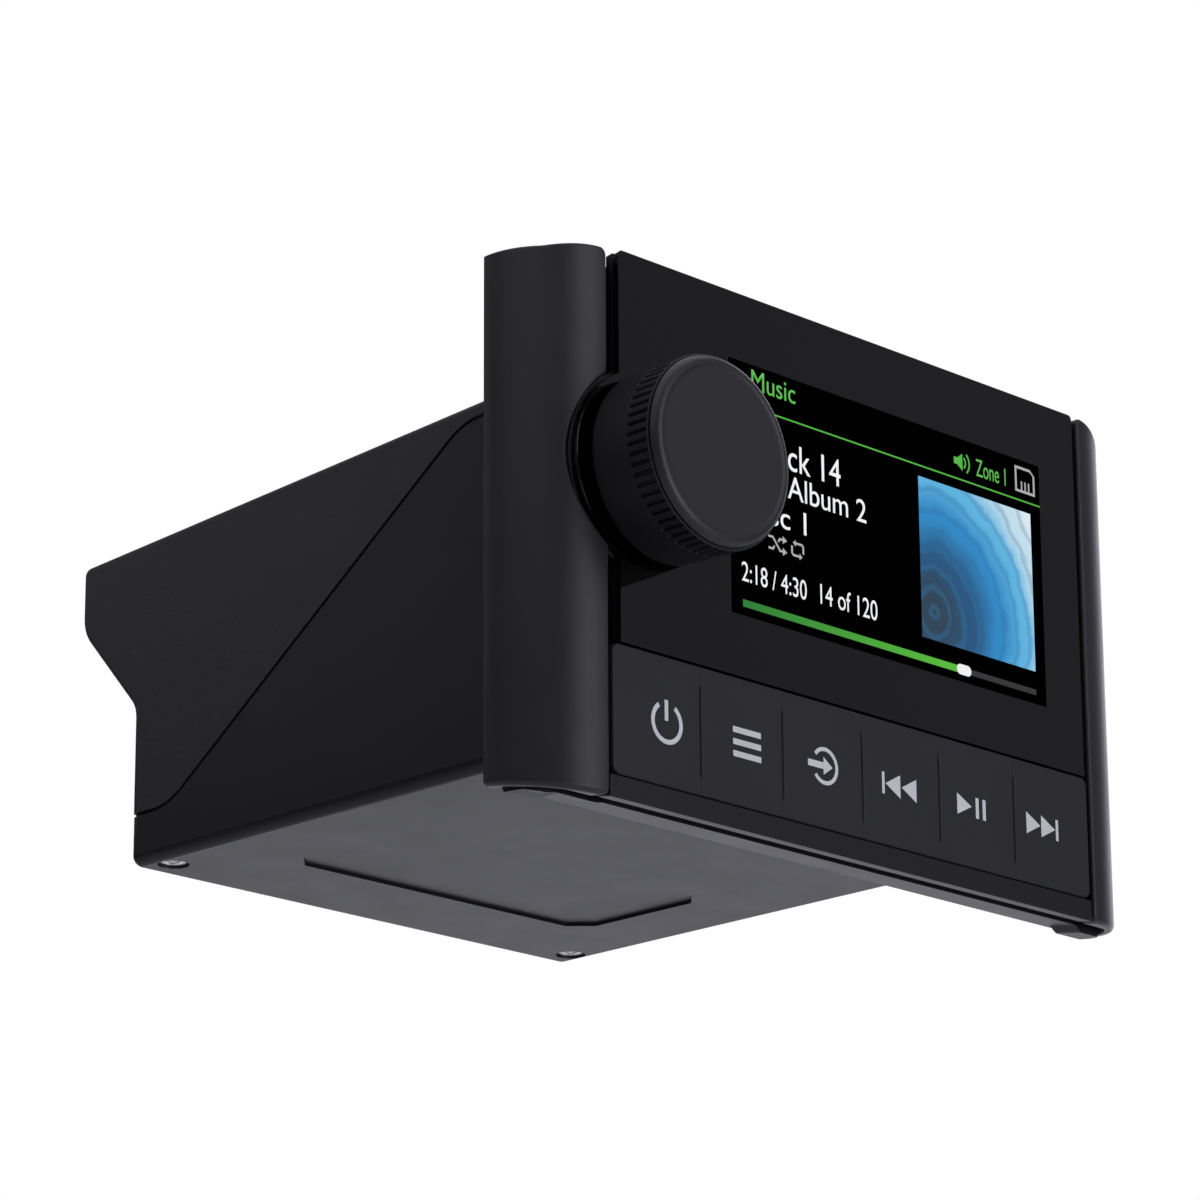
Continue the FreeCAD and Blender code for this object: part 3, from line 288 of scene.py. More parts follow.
CHARCOAL = (0.0125, 0.0122, 0.0146)
KEY_GREY, KNOB_GREY, GRIP_BLACK = (0.0165, 0.0168, 0.02), (0.0155, 0.0152, 0.018), (0.006, 0.006, 0.0072)
SATIN = moulded("satin_moulded_plastic", CHARCOAL, 0.44, 3.2, 0.012)
TRAY = moulded("satin_tray", CHARCOAL, 0.47, 3.2, 0.012, specular=0.42)
CHIN = moulded("satin_front_plate", tinted(CHARCOAL, 0.45), 0.46, 3.2, 0.012, specular=0.36)
COAT = moulded("powder_coat", tinted(CHARCOAL, 1.25), 0.5, 1.7, 0.04, edge_wear_and_highlight=0.5)
SMOOTH_COAT = moulded("smooth_coat", tinted(CHARCOAL, 0.4), 0.42, 4.0, 0.008, edge_wear_and_highlight=0.5, specular=0.36)
GLOSS = glossy("front_window", (0.0008, 0.0008, 0.0009), 0.05, 0.6)
KEY_RUBBER = moulded("key_rubber", KEY_GREY, 0.6, 5.0, 0.008, patchy=0.06, specular=0.35)
KNOB_RUBBER = moulded("knob_soft_coat", KNOB_GREY, 0.4, 4.5, 0.008, specular=0.45)
GRIP_RUBBER = moulded("grip_soft_coat", GRIP_BLACK, 0.55, 4.5, 0.01, specular=0.3)
SEAL = moulded("seal_rubber", (0.006, 0.006, 0.0065), 0.75, 2.0, 0.02, specular=0.25)
SOCKET = moulded("socket_plastic", (0.014, 0.014, 0.015), 0.48, 2.5, 0.015)
BOARD = board("circuit_board")
STEEL = metal("zinc_steel", (0.62, 0.62, 0.6), 0.34, (1, 8, 1))
TURNED_STEEL = metal("screw_steel", (0.74, 0.74, 0.73), 0.3, (1, 1, 1))
ALUMINIUM = metal("drawn_aluminium", (0.66, 0.67, 0.69), 0.4, (1, 0.06, 1))
FILM = moulded("cable_film", (0.32, 0.15, 0.035), 0.35, 0.8, 0.01)
SCREEN = glossy("screen_face", (0.0002, 0.0002, 0.0003), 0.06, 0.0)
PRINT = moulded("key_print", (0.72, 0.72, 0.71), 0.55, 3.0, 0.006, patchy=0.04, edge_wear_and_highlight=0.0)
WHITE = lit("screen_white", (0.86, 0.87, 0.88))
GREY = lit("screen_grey", (0.42, 0.42, 0.43))
DIM = lit("screen_dim", (0.035, 0.034, 0.036))
GREEN = lit("screen_green", (0.09, 0.46, 0.06))
GREEN_BAR = lit("screen_green_bar", (0.025, 0.2, 0.035), (0.1, 0.5, 0.045))
PICTURE = ringed("ring_picture", (17.5, GLASS, 1.0))

# The solids that each finish is on
FINISHES = {
    SATIN: "left_trim right_trim",
    TRAY: "mount_frame",
    CHIN: "front_fascia",
    COAT: "upper_cover",
    SMOOTH_COAT: "lower_shell",
    GLOSS: "display_glass",
    KEY_RUBBER: "key_membrane",
    SEAL: "dash_gasket housing_seal shaft_seal",
    BOARD: "front_board main_board",
    STEEL: "board_screws flange_screws encoder_nut encoder_shaft encoder_body lcd_bracket",
    ALUMINIUM: "heat_sink",
    SOCKET: "power_socket audio_socket network_socket data_socket antenna_socket amplifier_chip "
            "tact_switches encoder_plunger",
    SCREEN: "lcd_module",
    FILM: "flex_cable",
}
for finish, names in FINISHES.items():
    for node in names.split():
        NODES[node].data.materials.clear()
        NODES[node].data.materials.append(finish)


def ease_edges(node, width):
    """Rounds a solid's sharp edges a little, on a merged copy that modifiers make."""
    weld = NODES[node].modifiers.new("weld", "WELD")
    weld.merge_threshold = 0.002 * MM
    bevel = NODES[node].modifiers.new("eased_edges", "BEVEL")
    bevel.width = width * MM
    bevel.segments = 2
    bevel.limit_method = "ANGLE"
    bevel.angle_limit = math.radians(40)
    bevel.harden_normals = True


# The solids whose edges are eased, by the width of the rounding
EASED = {
    0.15: "front_fascia mount_frame power_socket audio_socket network_socket data_socket antenna_socket",
    0.2: "display_glass lower_shell upper_cover",
}
for width, names in EASED.items():
    for node in names.split():
        ease_edges(node, width)


# Ways of making a piece

def piece(name, points, faces, finish, body="stereo", slot=None, stands_for=(), sharp=35.0):
    """A closed piece from points in millimetres; edges that turn by more than sharp degrees stay crisp."""
    mesh = bpy.data.meshes.new(name)
    placed = np.asarray(points, float) * MM
    mesh.from_pydata(placed.tolist(), [], [list(map(int, face)) for face in faces])
    turned_out = bmesh.new()
    turned_out.from_mesh(mesh)
    bmesh.ops.remove_doubles(turned_out, verts=turned_out.verts, dist=0.0005 * MM)
    bmesh.ops.recalc_face_normals(turned_out, faces=turned_out.faces)
    turned_out.to_mesh(mesh)
    turned_out.free()
    dress(bpy.data.objects.new(name, mesh), finish, body, stands_for, sharp)


def dress(item, finish, body, stands_for=(), sharp=35.0):
    """Gives a piece its finish, its shading, the body it rides on and the solids it stands for."""
    bpy.context.scene.collection.objects.link(item)
    item.data.materials.clear()
    item.data.materials.append(finish)
    item.data.shade_smooth()
    item.data.set_sharp_from_angle(angle=math.radians(sharp))
    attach(item, body)
    if stands_for:
        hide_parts(*stands_for)


def grid_quads(rows, cols, round_cols=False, start=0):
    """The faces of a grid of points kept row by row, closed along the rows if asked."""
    r = np.arange(rows - 1)[:, None]
    c = np.arange(cols if round_cols else cols - 1)[None, :]
    after = (c + 1) % cols
    quads = np.stack([r * cols + c, r * cols + after, (r + 1) * cols + after, (r + 1) * cols + c], -1)
    return (quads.reshape(-1, 4) + start).tolist()


def border(rows, cols):
    """The points round a grid kept row by row, in order."""
    grid = np.arange(rows * cols).reshape(rows, cols)
    return np.concatenate([grid[0, :-1], grid[:-1, -1], grid[-1, :0:-1], grid[:0:-1, 0]])


def wall_between(outer, inner):
    """A closed wall between two grids of points of the same shape."""
    rows, cols = outer.shape[:2]
    count = rows * cols
    loop = border(rows, cols)
    faces = grid_quads(rows, cols)
    faces += [[i + count for i in face[::-1]] for face in grid_quads(rows, cols)]
    faces += [(a, b, b + count, a + count) for a, b in zip(loop, np.roll(loop, -1))]
    return np.vstack([outer.reshape(-1, 3), inner.reshape(-1, 3)]), faces


def rise(value, zero_at, one_at):
    """0 up to one value, 1 from another, and a smooth rise between them: 3t^2 - 2t^3."""
    t = np.clip((value - zero_at) / (one_at - zero_at), 0.0, 1.0)
    return t * t * (3 - 2 * t)


def draw_in(radius, away):
    """How far a rounded edge draws in at a distance d from it: r - sqrt(r^2 - (r - d)^2), and 0 past r."""
    return radius - np.sqrt(radius ** 2 - np.clip(radius - away, 0, radius) ** 2)


def bend(centre, radius, start, stop, count):
    """Points on an arc: centre + radius (cos a, sin a), with a in degrees from start to stop."""
    a = np.radians(np.linspace(start, stop, count))
    return np.stack([centre[0] + radius * np.cos(a), centre[1] + radius * np.sin(a)], -1)


def between(start, stop, count):
    """Even steps on a straight line, without its last point."""
    t = np.linspace(0, 1, count, endpoint=False)[:, None]
    return np.asarray(start, float) * (1 - t) + np.asarray(stop, float) * t


def turned(profile, turns, dent=None):
    """Carries a profile of (depth, radius) round the knob's axis, with a fan at each end on the axis.

    The point at depth y, radius r and turn a is (x0 + r cos a, y, z0 + r sin a), and dent(y, a, r) is
    taken off the radius.
    """
    profile = np.asarray(profile, float)
    y = np.repeat(profile[1:-1, :1], len(turns), 1)
    r = np.repeat(profile[1:-1, 1:], len(turns), 1)
    a = np.repeat(turns[None, :], len(y), 0)
    if dent is not None:
        r = r - dent(y, a, r)
    ring = np.stack([KNOB[0] + r * np.cos(a), y, KNOB[1] + r * np.sin(a)], -1).reshape(-1, 3)
    ends = [(KNOB[0], profile[0, 0], KNOB[1]), (KNOB[0], profile[-1, 0], KNOB[1])]
    cols, last, pole = len(turns), len(ring) - len(turns), len(ring)
    faces = grid_quads(len(y), cols, round_cols=True)
    faces += [(pole, c, (c + 1) % cols) for c in range(cols)]
    faces += [(pole + 1, last + (c + 1) % cols, last + c) for c in range(cols)]
    return np.vstack([ring, ends]), faces


def slab(loops, front, back):
    """Flat closed plates from loops of (x, z) between two depths, with a wall round each loop."""
    points, faces = [], []
    for loop in loops:
        start, count = len(points), len(loop)
        points += [(x, front, z) for x, z in loop] + [(x, back, z) for x, z in loop]
        ahead = [start + i for i in range(count)]
        behind = [i + count for i in ahead]
        after = ahead[1:] + ahead[:1]
        faces += [ahead, behind[::-1]]
        faces += [(a, b, b_after, a_after) for a, b, b_after, a_after
                  in zip(ahead, behind, behind[1:] + behind[:1], after)]
    return points, faces


def bar(x0, x1, z0, z1):
    """A rectangle."""
    return [(x0, z0), (x1, z0), (x1, z1), (x0, z1)]


# Side trims

def trim_ends(side, x, y):
    """The heights of a trim's foot and top over a place on its plan; the two trims differ a little.

    The foot rises by a share of the depth behind the glass's face, and the top falls with the square of
    the distance from the inner edge.
    """
    raised, share, deepest = TRIM_TOPS[side]
    foot = TRIM_FOOT + TRIM_FOOT_SLOPE * (y - GLASS)
    return foot, TRIM_TOP + raised - np.minimum(share * (x - TRIM_INNER) ** 2, deepest)


def make_trim(name, side, solid):
    """A wall on a round plan, (x, y) = centre + R (sin t, -cos t), carried up z between its two ends.

    At each height, t runs from the inner edge to the dash plane. The inner edge is straight, has a
    rounded corner at each end, and on the left gives way to the circle round the knob. The outer face
    draws in towards its outline, more softly at the foot. The inner face is flat where the plan lies in
    front of the layer's back. Two clips stand behind the wall.
    """
    corner, rim, foot_rim = 1.2, 0.45, 0.9
    clip_inner, clip_outer, clip_front, clip_back = 57.1, 58.7, -11.1, -1.5
    clip_heights, clip_half = (-21.0, 21.0), 3
    half = math.sqrt(SCALLOP ** 2 - (TRIM_INNER + KNOB[0]) ** 2)
    low, high = KNOB[1] - half, KNOB[1] + half
    near = corner * (1 - np.cos(np.linspace(0, math.pi / 2, 16)))
    stations = np.concatenate([
        TRIM_FOOT + near[:-1],
        np.linspace(corner + TRIM_FOOT, low, 24)[:-1],
        np.linspace(low, high, 60)[:-1],
        np.linspace(high, TRIM_TOP - corner, 14)[:-1],
        TRIM_TOP - near[::-1],
    ])
    v = ((stations - TRIM_FOOT) / (TRIM_TOP - TRIM_FOOT))[:, None]
    u = np.linspace(0, 1, 76)[None, :] ** 1.7

    def level(x, y):
        """The height z at the share v of the way up, its distance to the nearer end, and to the foot."""
        foot, top = trim_ends(side, x, y)
        z = foot + v * (top - foot)
        return z, np.minimum(top - z, z - foot), z - foot

    start = np.full_like(v, TRIM_INNER)
    for _ in range(4):
        y = TRIM_CENTRE[1] - np.sqrt(TRIM_RADIUS ** 2 - (start - TRIM_CENTRE[0]) ** 2)
        z, ends, _ = level(start, y)
        start = TRIM_INNER + draw_in(corner, ends)
        if side < 0:
            span = np.clip(SCALLOP ** 2 - (z - KNOB[1]) ** 2, 0, None)
            start = np.maximum(start, np.sqrt(span) - KNOB[0])

    def face(radius, drawn_in):
        """The outer face, drawn in at its outline, or the plain inner one."""
        first = np.arcsin((start - TRIM_CENTRE[0]) / radius)
        t = first + (math.acos(TRIM_CENTRE[1] / radius) - first) * u
        x = TRIM_CENTRE[0] + radius * np.sin(t)
        y = TRIM_CENTRE[1] - radius * np.cos(t)
        if not drawn_in:
            y = np.maximum(y, LAYER)
            return np.stack([side * x, y, level(x, y)[0]], -1)
        z, ends, above = level(x, y)
        beside = np.clip(x - TRIM_INNER, 0, None)
        away = np.minimum(beside, ends)
        in_corner = (beside < corner) & (ends < corner)
        away = np.where(in_corner, corner - np.hypot(corner - beside, corner - ends), away)
        if side < 0:
            away = np.minimum(away, np.hypot(x + KNOB[0], z - KNOB[1]) - SCALLOP)
        reach = radius - np.maximum(draw_in(rim, away), draw_in(foot_rim, above))
        x = TRIM_CENTRE[0] + reach * np.sin(t)
        return np.stack([side * x, TRIM_CENTRE[1] - reach * np.cos(t), z], -1)

    points, faces = wall_between(face(TRIM_RADIUS, True), face(TRIM_RADIUS - TRIM_WALL, False))
    clip_x = sorted((side * clip_inner, side * clip_outer))
    clips = [bar(*clip_x, z - clip_half, z + clip_half) for z in clip_heights]
    more, more_faces = slab(clips, clip_front, clip_back)
    faces += [[i + len(points) for i in item] for item in more_faces]
    points = np.vstack([points, more])
    piece(name, points, faces, SATIN, slot="satin_black", stands_for=[solid], sharp=50)


def make_tray_ends():
    """The tray's lower ends under the trims, fitted over the solid and swelling smoothly out of it.

    The point at depth y and share s runs from the tray out to x = centre + sqrt(R^2 - (y - y0)^2). The
    foot follows the front's own taper, from just above it at the inner edge to some way below it. It
    stays under the round boss it covers, and comes back to the taper just behind that.
    """
    radius, top, hidden = 9.3, -37.1, 0.12
    taper_share = 2.06 / 12.5
    boss_foot, boss_turn, boss_rise = -40.28, -1.6, 0.38
    boss_inner, boss_full = 55.1, 57.0
    left_drop, left_outer_drop, right_drop = 0.37, 0.4, 1.12
    y = np.concatenate([np.linspace(-6.8, -1.85, 26), np.linspace(-1.75, -1.0, 12), [0.0]])[:, None]
    s = np.linspace(0, 1, 56)[None, :]
    outer = TRIM_CENTRE[0] + np.sqrt(radius ** 2 - (y - TRIM_CENTRE[1]) ** 2)
    taper = TRIM_FOOT + (y - GLASS) * taper_share
    cover = boss_foot + boss_rise * np.clip(y - boss_turn, 0, None)
    behind = rise(y, -1.05, -1.8)
    for side, name, inner in ((-1, "left_tray_end", 47.6), (1, "right_tray_end", 54.6)):
        x = inner + s * (outer - inner)
        round_part = rise(x, boss_inner, boss_full)
        if side < 0:
            drop = left_drop * rise(x, inner, inner + 2.4) * rise(y, -2.5, -6.0)
            drop = drop + left_outer_drop * rise(x, boss_full, 60.0)
        else:
            drop = right_drop * round_part
        below_taper = np.minimum(hidden - drop, hidden + (cover - taper - hidden) * round_part)
        foot = taper + hidden + (below_taper - hidden) * behind
        below = np.stack([side * x, y + 0 * s, foot], -1)
        above = np.stack([side * x, y + 0 * s, np.full_like(foot, top)], -1)
        piece(name, *wall_between(below, above), TRAY, slot="satin_black", sharp=50)


def make_groove_ends():
    """The upper groove is closed beside the glass, where the gap to each trim would look into it. The
    blocks are very dark, as painted shade in that gap.
    """
    foot, top, edge = 38.4, 40.3, 52.7
    left_inner, right_inner, back = -50.25, 51.95, -6.85
    loops = [bar(-edge, left_inner, foot, top), bar(right_inner, edge, foot, top)]
    points, faces = slab(loops, LAYER + 0.05, back)
    # Very dark seal finish: painted shade in the gap beside each trim
    piece("groove_ends", points, faces, SEAL)


# Knob: the cuts in its grip, and the depths where they begin and end

GRIP_CUTS = 60
GRIP_PITCH = 2 * math.pi / GRIP_CUTS
GRIP_RIM, GRIP_CUTS_END = -25.14, -20.95


def grip_dent(y, a, r):
    """How deep the grip's cuts are: 60 times round, with smooth walls down to a flat floor.

    They start just behind the rim and fade out 4.2 mm behind it. Only the outside has them.
    """
    deep, half, floor_half, inside = 0.55, 0.36, 0.12, 13.0
    across = (np.mod(a / GRIP_PITCH + 0.5, 1.0) - 0.5) * GRIP_PITCH * r
    wall = rise(np.abs(across), half, floor_half)
    along = rise(y, GRIP_CUTS_END, GRIP_CUTS_END - 0.45) * rise(y, GRIP_RIM, GRIP_RIM + 0.2)
    return deep * wall * along * (r > inside)


def make_knob():
    """The grooved grip and the smooth cap, both turned about the encoder's axis.

    The grip has 12 points over each cut, kept as millimetres from the cut's middle along a pitch.
    """
    pitch_long = 1.513
    across = np.array([-0.75, -0.42, -0.34, -0.27, -0.2, -0.13, 0.0, 0.13, 0.2, 0.27, 0.34, 0.42])
    turns = (np.arange(GRIP_CUTS)[:, None] + across[None, :] / pitch_long).ravel() * GRIP_PITCH
    seam, foot, web, hub_foot, bore_end = -25.3, -14.1, -23.4, -15.7, -24.0
    inner, hub, bore = 12.06, 5.7, 3.05
    grip = np.vstack([
        [(seam, 0)],
        between((seam, 13.6), (seam, 14.18), 3),
        between((seam, 14.18), (GRIP_RIM, 14.34), 3),
        between((GRIP_RIM, 14.34), (-20.4, 14.24), 34),
        between((-20.4, 14.24), (-14.5, 14.06), 8),
        bend((-14.5, 13.66), 0.4, 90, 0, 5),
        [(foot, inner), (web, inner), (web, hub), (hub_foot, hub), (hub_foot, bore), (bore_end, bore)],
        [(bore_end, 0)],
    ])
    points, faces = turned(grip, turns, grip_dent)
    piece("knob_grip", points, faces, GRIP_RUBBER, "knob", "knob_black", ["knob_ring"], sharp=50)
    face, cap_foot, cap_radius = -26.58, -25.28, 13.75
    bead = [(face, 12.1), (-26.6, 12.25), (-26.65, 12.4), (-26.69, 12.52)]
    cap = np.vstack([
        [(face, 0), (face, 6.0), (face, 11.5)],
        bead,
        bend((seam, 12.65), 1.4, 180, 102.5, 16),
        [(-25.6, cap_radius), (cap_foot, cap_radius), (cap_foot, 0)],
    ])
    points, faces = turned(cap, np.linspace(0, 2 * math.pi, 240, endpoint=False))
    piece("knob_face", points, faces, KNOB_RUBBER, "knob", "knob_black", ["knob_cap"], sharp=50)


# Keys

def gathered(low, high, count):
    """Steps that crowd towards both ends: middle - half cos(pi t)."""
    t = np.linspace(0, 1, count)
    return (low + high) / 2 - (high - low) / 2 * np.cos(math.pi * t)


def key_middle(index):
    """The x of a key's middle."""
    return KEY_PITCH * (index - (len(KEYS) - 1) / 2)


def key_front(index):
    """One key of the strip: a grid over its front, walls back to the plate, and its back.

    The outer end of the first and last key has rounded corners, where x is drawn in by draw_in's rule.
    The front falls away by the same rule along its outer edges, and half of a short groove runs down
    each side that meets another key.
    """
    play, corner, rim, far = 0.015, 1.4, 0.3, 9.0
    groove_deep, groove_half, floor_half = 0.32, 0.24, 0.04
    groove_foot, groove_top, groove_fade = -35.3, -20.9, 0.5
    rows, cols = 61, 45
    middle = key_middle(index)
    first, last = index == 0, index == len(KEYS) - 1
    low = -KEY_HALF if first else middle - KEY_PITCH / 2 + play
    high = KEY_HALF if last else middle + KEY_PITCH / 2 - play
    z = gathered(KEY_FOOT, KEY_TOP, rows)[:, None]
    t = gathered(0, 1, cols)[None, :]
    ends = np.minimum(z - KEY_FOOT, KEY_TOP - z)
    left = low + draw_in(corner, ends) * first
    right = high - draw_in(corner, ends) * last
    x = left + (right - left) * t
    edge = np.minimum(ends, np.where(first, x - left, far))
    edge = np.minimum(edge, np.where(last, right - x, far))
    beside = np.minimum(np.where(first, far, x - low), np.where(last, far, high - x))
    along = rise(z, groove_foot, groove_foot + groove_fade) * rise(z, groove_top, groove_top - groove_fade)
    groove = groove_deep * rise(beside, groove_half, floor_half) * along
    y = KEY_FRONT + draw_in(rim, edge) + groove
    front = np.stack([x, y, z + 0 * x], -1).reshape(-1, 3)
    loop = border(rows, cols)
    behind = front[loop].copy()
    behind[:, 1] = KEY_BACK
    start, count = len(front), len(loop)
    faces = grid_quads(rows, cols)
    faces += [(loop[i], loop[i - count + 1], start + (i + 1) % count, start + i) for i in range(count)]
    faces.append([start + i for i in range(count)])
    return np.vstack([front, behind]), faces


def nub(index):
    """The round nub behind a key: a ring of points carried from the key's back to its own end."""
    radius, into_key, long = 2.5, 0.2, 2.1
    turn = np.linspace(0, 2 * math.pi, 32, endpoint=False)
    x = key_middle(index) + radius * np.cos(turn)
    z = (KEY_FOOT + KEY_TOP) / 2 + radius * np.sin(turn)
    return slab([list(zip(x, z))], KEY_BACK - into_key, KEY_BACK + long)


def make_keys():
    """Six buttons in one strip, each with its nub on the switch behind it."""
    for index, name in enumerate(KEYS):
        points, faces = key_front(index)
        more, more_faces = nub(index)
        faces = faces + [[i + len(points) for i in face] for face in more_faces]
        piece(name.replace("_key", "_button"), np.vstack([points, more]), faces, KEY_RUBBER, name,
              "key_rubber", [name], sharp=50)


def band(centre, outer, inner, start, stop, count=40):
    """A flat ring from one angle to another: out along the outer arc and back along the inner one."""
    out, back = bend(centre, outer, start, stop, count), bend(centre, inner, stop, start, count)
    return np.vstack([out, back]).tolist()


def wedge(base, tip, z, half):
    """A triangle that points from its upright base to its tip."""
    return [(base, z - half), (tip, z), (base, z + half)]


def make_symbols():
    """The printed symbol on each key, a few hundredths of a millimetre proud of the rubber."""
    z, proud, into_key = -28.15, 0.03, 0.1
    lines = [z + 1.79 * k for k in (-1, 0, 1)]
    symbols = {
        "power": [band((-41.3, z - 0.05), 3.2, 2.5, 124, 416), bar(-41.75, -41.05, z + 0.2, z + 3.25)],
        "menu": [bar(-27.7, -21.85, line - 0.44, line + 0.44) for line in lines],
        "source": [
            band((-8.2, z), 2.85, 2.25, -143, 143),
            [(-11.85, z - 0.5), (-8.5, z - 0.5), (-8.5, z - 1.35), (-6.55, z), (-8.5, z + 1.35),
             (-8.5, z + 0.5), (-11.85, z + 0.5)],
        ],
        "previous": [
            bar(4.3, 4.85, z - 1.65, z + 1.65),
            wedge(8.35, 5.05, z, 1.78),
            wedge(11.95, 8.65, z, 1.78),
        ],
        "play": [
            wedge(21.2, 24.5, z, 1.65),
            bar(25.45, 26.15, z - 1.6, z + 1.6),
            bar(27.05, 27.75, z - 1.6, z + 1.6),
        ],
        "next": [
            wedge(37.25, 40.55, z, 1.72),
            wedge(40.75, 44.05, z, 1.72),
            bar(44.2, 44.8, z - 1.65, z + 1.65),
        ],
    }
    for name, loops in symbols.items():
        points, faces = slab(loops, KEY_FRONT - proud, KEY_FRONT + into_key)
        piece(name + "_symbol", points, faces, PRINT, name + "_key")


# Screen

def words(name, text, x0, x1, z0, z1, finish):
    """Lettering fitted to a field of the screen, its strokes a hair proud of the field behind it."""
    curve = bpy.data.curves.new(name + "_curve", "FONT")
    curve.body = text
    shape = bpy.data.objects.new(name + "_text", curve)
    bpy.context.scene.collection.objects.link(shape)
    bpy.context.view_layer.update()
    mesh = bpy.data.meshes.new_from_object(shape)
    bpy.data.objects.remove(shape)
    at = np.array([v.co for v in mesh.vertices])
    low, high = at.min(0), at.max(0)
    x = x0 + (at[:, 0] - low[0]) / (high[0] - low[0]) * (x1 - x0)
    z = z0 + (at[:, 1] - low[1]) / (high[1] - low[1]) * (z1 - z0)
    flat = np.stack([x, np.full(len(x), MARK_FRONT), z], -1) * MM
    mesh.vertices.foreach_set("co", flat.ravel())
    mesh.update()
    item = bpy.data.objects.new(name, mesh)
    dress(item, finish, "stereo")
    thick = item.modifiers.new("thickness", "SOLIDIFY")
    thick.thickness = 0.02 * MM
    thick.offset = -1.0


def screen_marks(name, loops, finish):
    """Flat marks of one colour on the screen."""
    points, faces = slab(loops, MARK_FRONT, MARK_BACK)
    piece(name, points, faces, finish)


def round_bar(x0, x1, z, half):
    """A bar with half-round ends."""
    right = bend((x1 - half, z), half, -90, 90, 12)
    left = bend((x0 + half, z), half, 90, 270, 12)
    return np.vstack([right, left]).tolist()


def make_screen():
    """What the display shows: a header, made-up track names, times, a progress bar and a picture."""
    field = bar(SCREEN_LEFT, SCREEN_RIGHT, SCREEN_FOOT, SCREEN_TOP)
    points, faces = slab([field], GLASS - 0.012, GLASS + 0.05)
    piece("screen_field", points, faces, SCREEN, slot="display")
    screen_marks("header_line", [bar(SCREEN_LEFT, SCREEN_RIGHT, 23.68, 23.92)], GREEN)
    words("header_word", "Music", -22.4, -12.9, 26.6, 29.75, GREEN)
    words("zone_word", "Zone 1", 28.2, 35.2, 25.3, 28.1, GREEN)
    words("title_words", "Track 14", -22.6, -3.2, 15.9, 20.2, WHITE)
    words("album_words", "Album 2", -14.9, 2.4, 11.5, 15.1, WHITE)
    words("disc_words", "Disc 1", -24.2, -11.0, 6.5, 10.0, WHITE)
    words("time_words", "2:18 / 4:30", -25.1, -11.2, -3.5, -0.5, WHITE)
    words("count_words", "14 of 120", -8.2, 4.4, -3.3, -0.2, WHITE)
    screen_marks("progress_done", [bar(-24.95, 22.5, -7.4, -6.3)], GREEN_BAR)
    screen_marks("progress_rest", [bar(25.5, 40.9, -7.3, -6.4)], DIM)
    points, faces = slab([round_bar(22.3, 25.6, -6.8, 0.82)], MARK_FRONT - 0.015, MARK_BACK)
    piece("progress_point", points, faces, WHITE)
    screen_marks("speaker_symbol", [
        [(23.0, 26.15), (23.8, 26.15), (25.0, 25.3), (25.0, 28.1), (23.8, 27.25), (23.0, 27.25)],
        band((24.6, 26.7), 1.25, 0.95, -48, 48, 10),
        band((24.6, 26.7), 2.15, 1.85, -48, 48, 10),
    ], GREEN)
    left, right, foot, top, line, cut = 37.5, 42.2, 25.15, 29.35, 0.4, 28.4
    outline = [
        bar(left, right, foot, foot + line),
        bar(left, left + line, foot + line, top),
        bar(right - line, right, foot + line, cut),
        bar(left + line, 41.1, top - line, top),
        [(41.1, top - line), (right - line, cut), (right, cut), (41.1, top)],
    ]
    ticks = [bar(x, x + 0.3, foot + line, 27.0) for x in (38.9, 39.75, 40.6)]
    screen_marks("card_symbol", outline + ticks, GREY)
    lower, upper, half = 2.9, 4.7, 0.17
    screen_marks("shuffle_symbol", [
        [(-19.3, upper - half), (-18.4, upper - half), (-16.9, lower - half), (-16.2, lower - half),
         (-16.2, lower + half), (-16.75, lower + half), (-18.25, upper + half), (-19.3, upper + half)],
        [(-19.3, lower - half), (-18.25, lower - half), (-17.9, lower + 0.35), (-18.1, lower + 0.6),
         (-18.4, lower + half), (-19.3, lower + half)],
        [(-17.3, upper - 0.35), (-17.05, upper - 0.6), (-16.75, upper - half), (-16.2, upper - half),
         (-16.2, upper + half), (-16.9, upper + half)],
        wedge(-16.2, -15.3, lower, 0.6), wedge(-16.2, -15.3, upper, 0.6),
    ], GREY)
    screen_marks("repeat_symbol", [
        [(-14.0, 2.75), (-12.6, 2.75), (-12.6, 3.1), (-13.9, 3.1), (-14.05, 3.25), (-14.05, 4.3),
         (-14.4, 4.3), (-14.4, 3.15)],
        [(-12.0, 5.0), (-13.4, 5.0), (-13.4, 4.65), (-12.1, 4.65), (-11.95, 4.5), (-11.95, 3.45),
         (-11.6, 3.45), (-11.6, 4.6)],
        wedge(-12.6, -12.0, 2.92, 0.5), wedge(-13.4, -14.0, 4.83, 0.5),
    ], GREY)
    screen_marks("picture_field", [bar(14.5, 40.9, -3.5, 22.05)], PICTURE)


# Screws and contacts

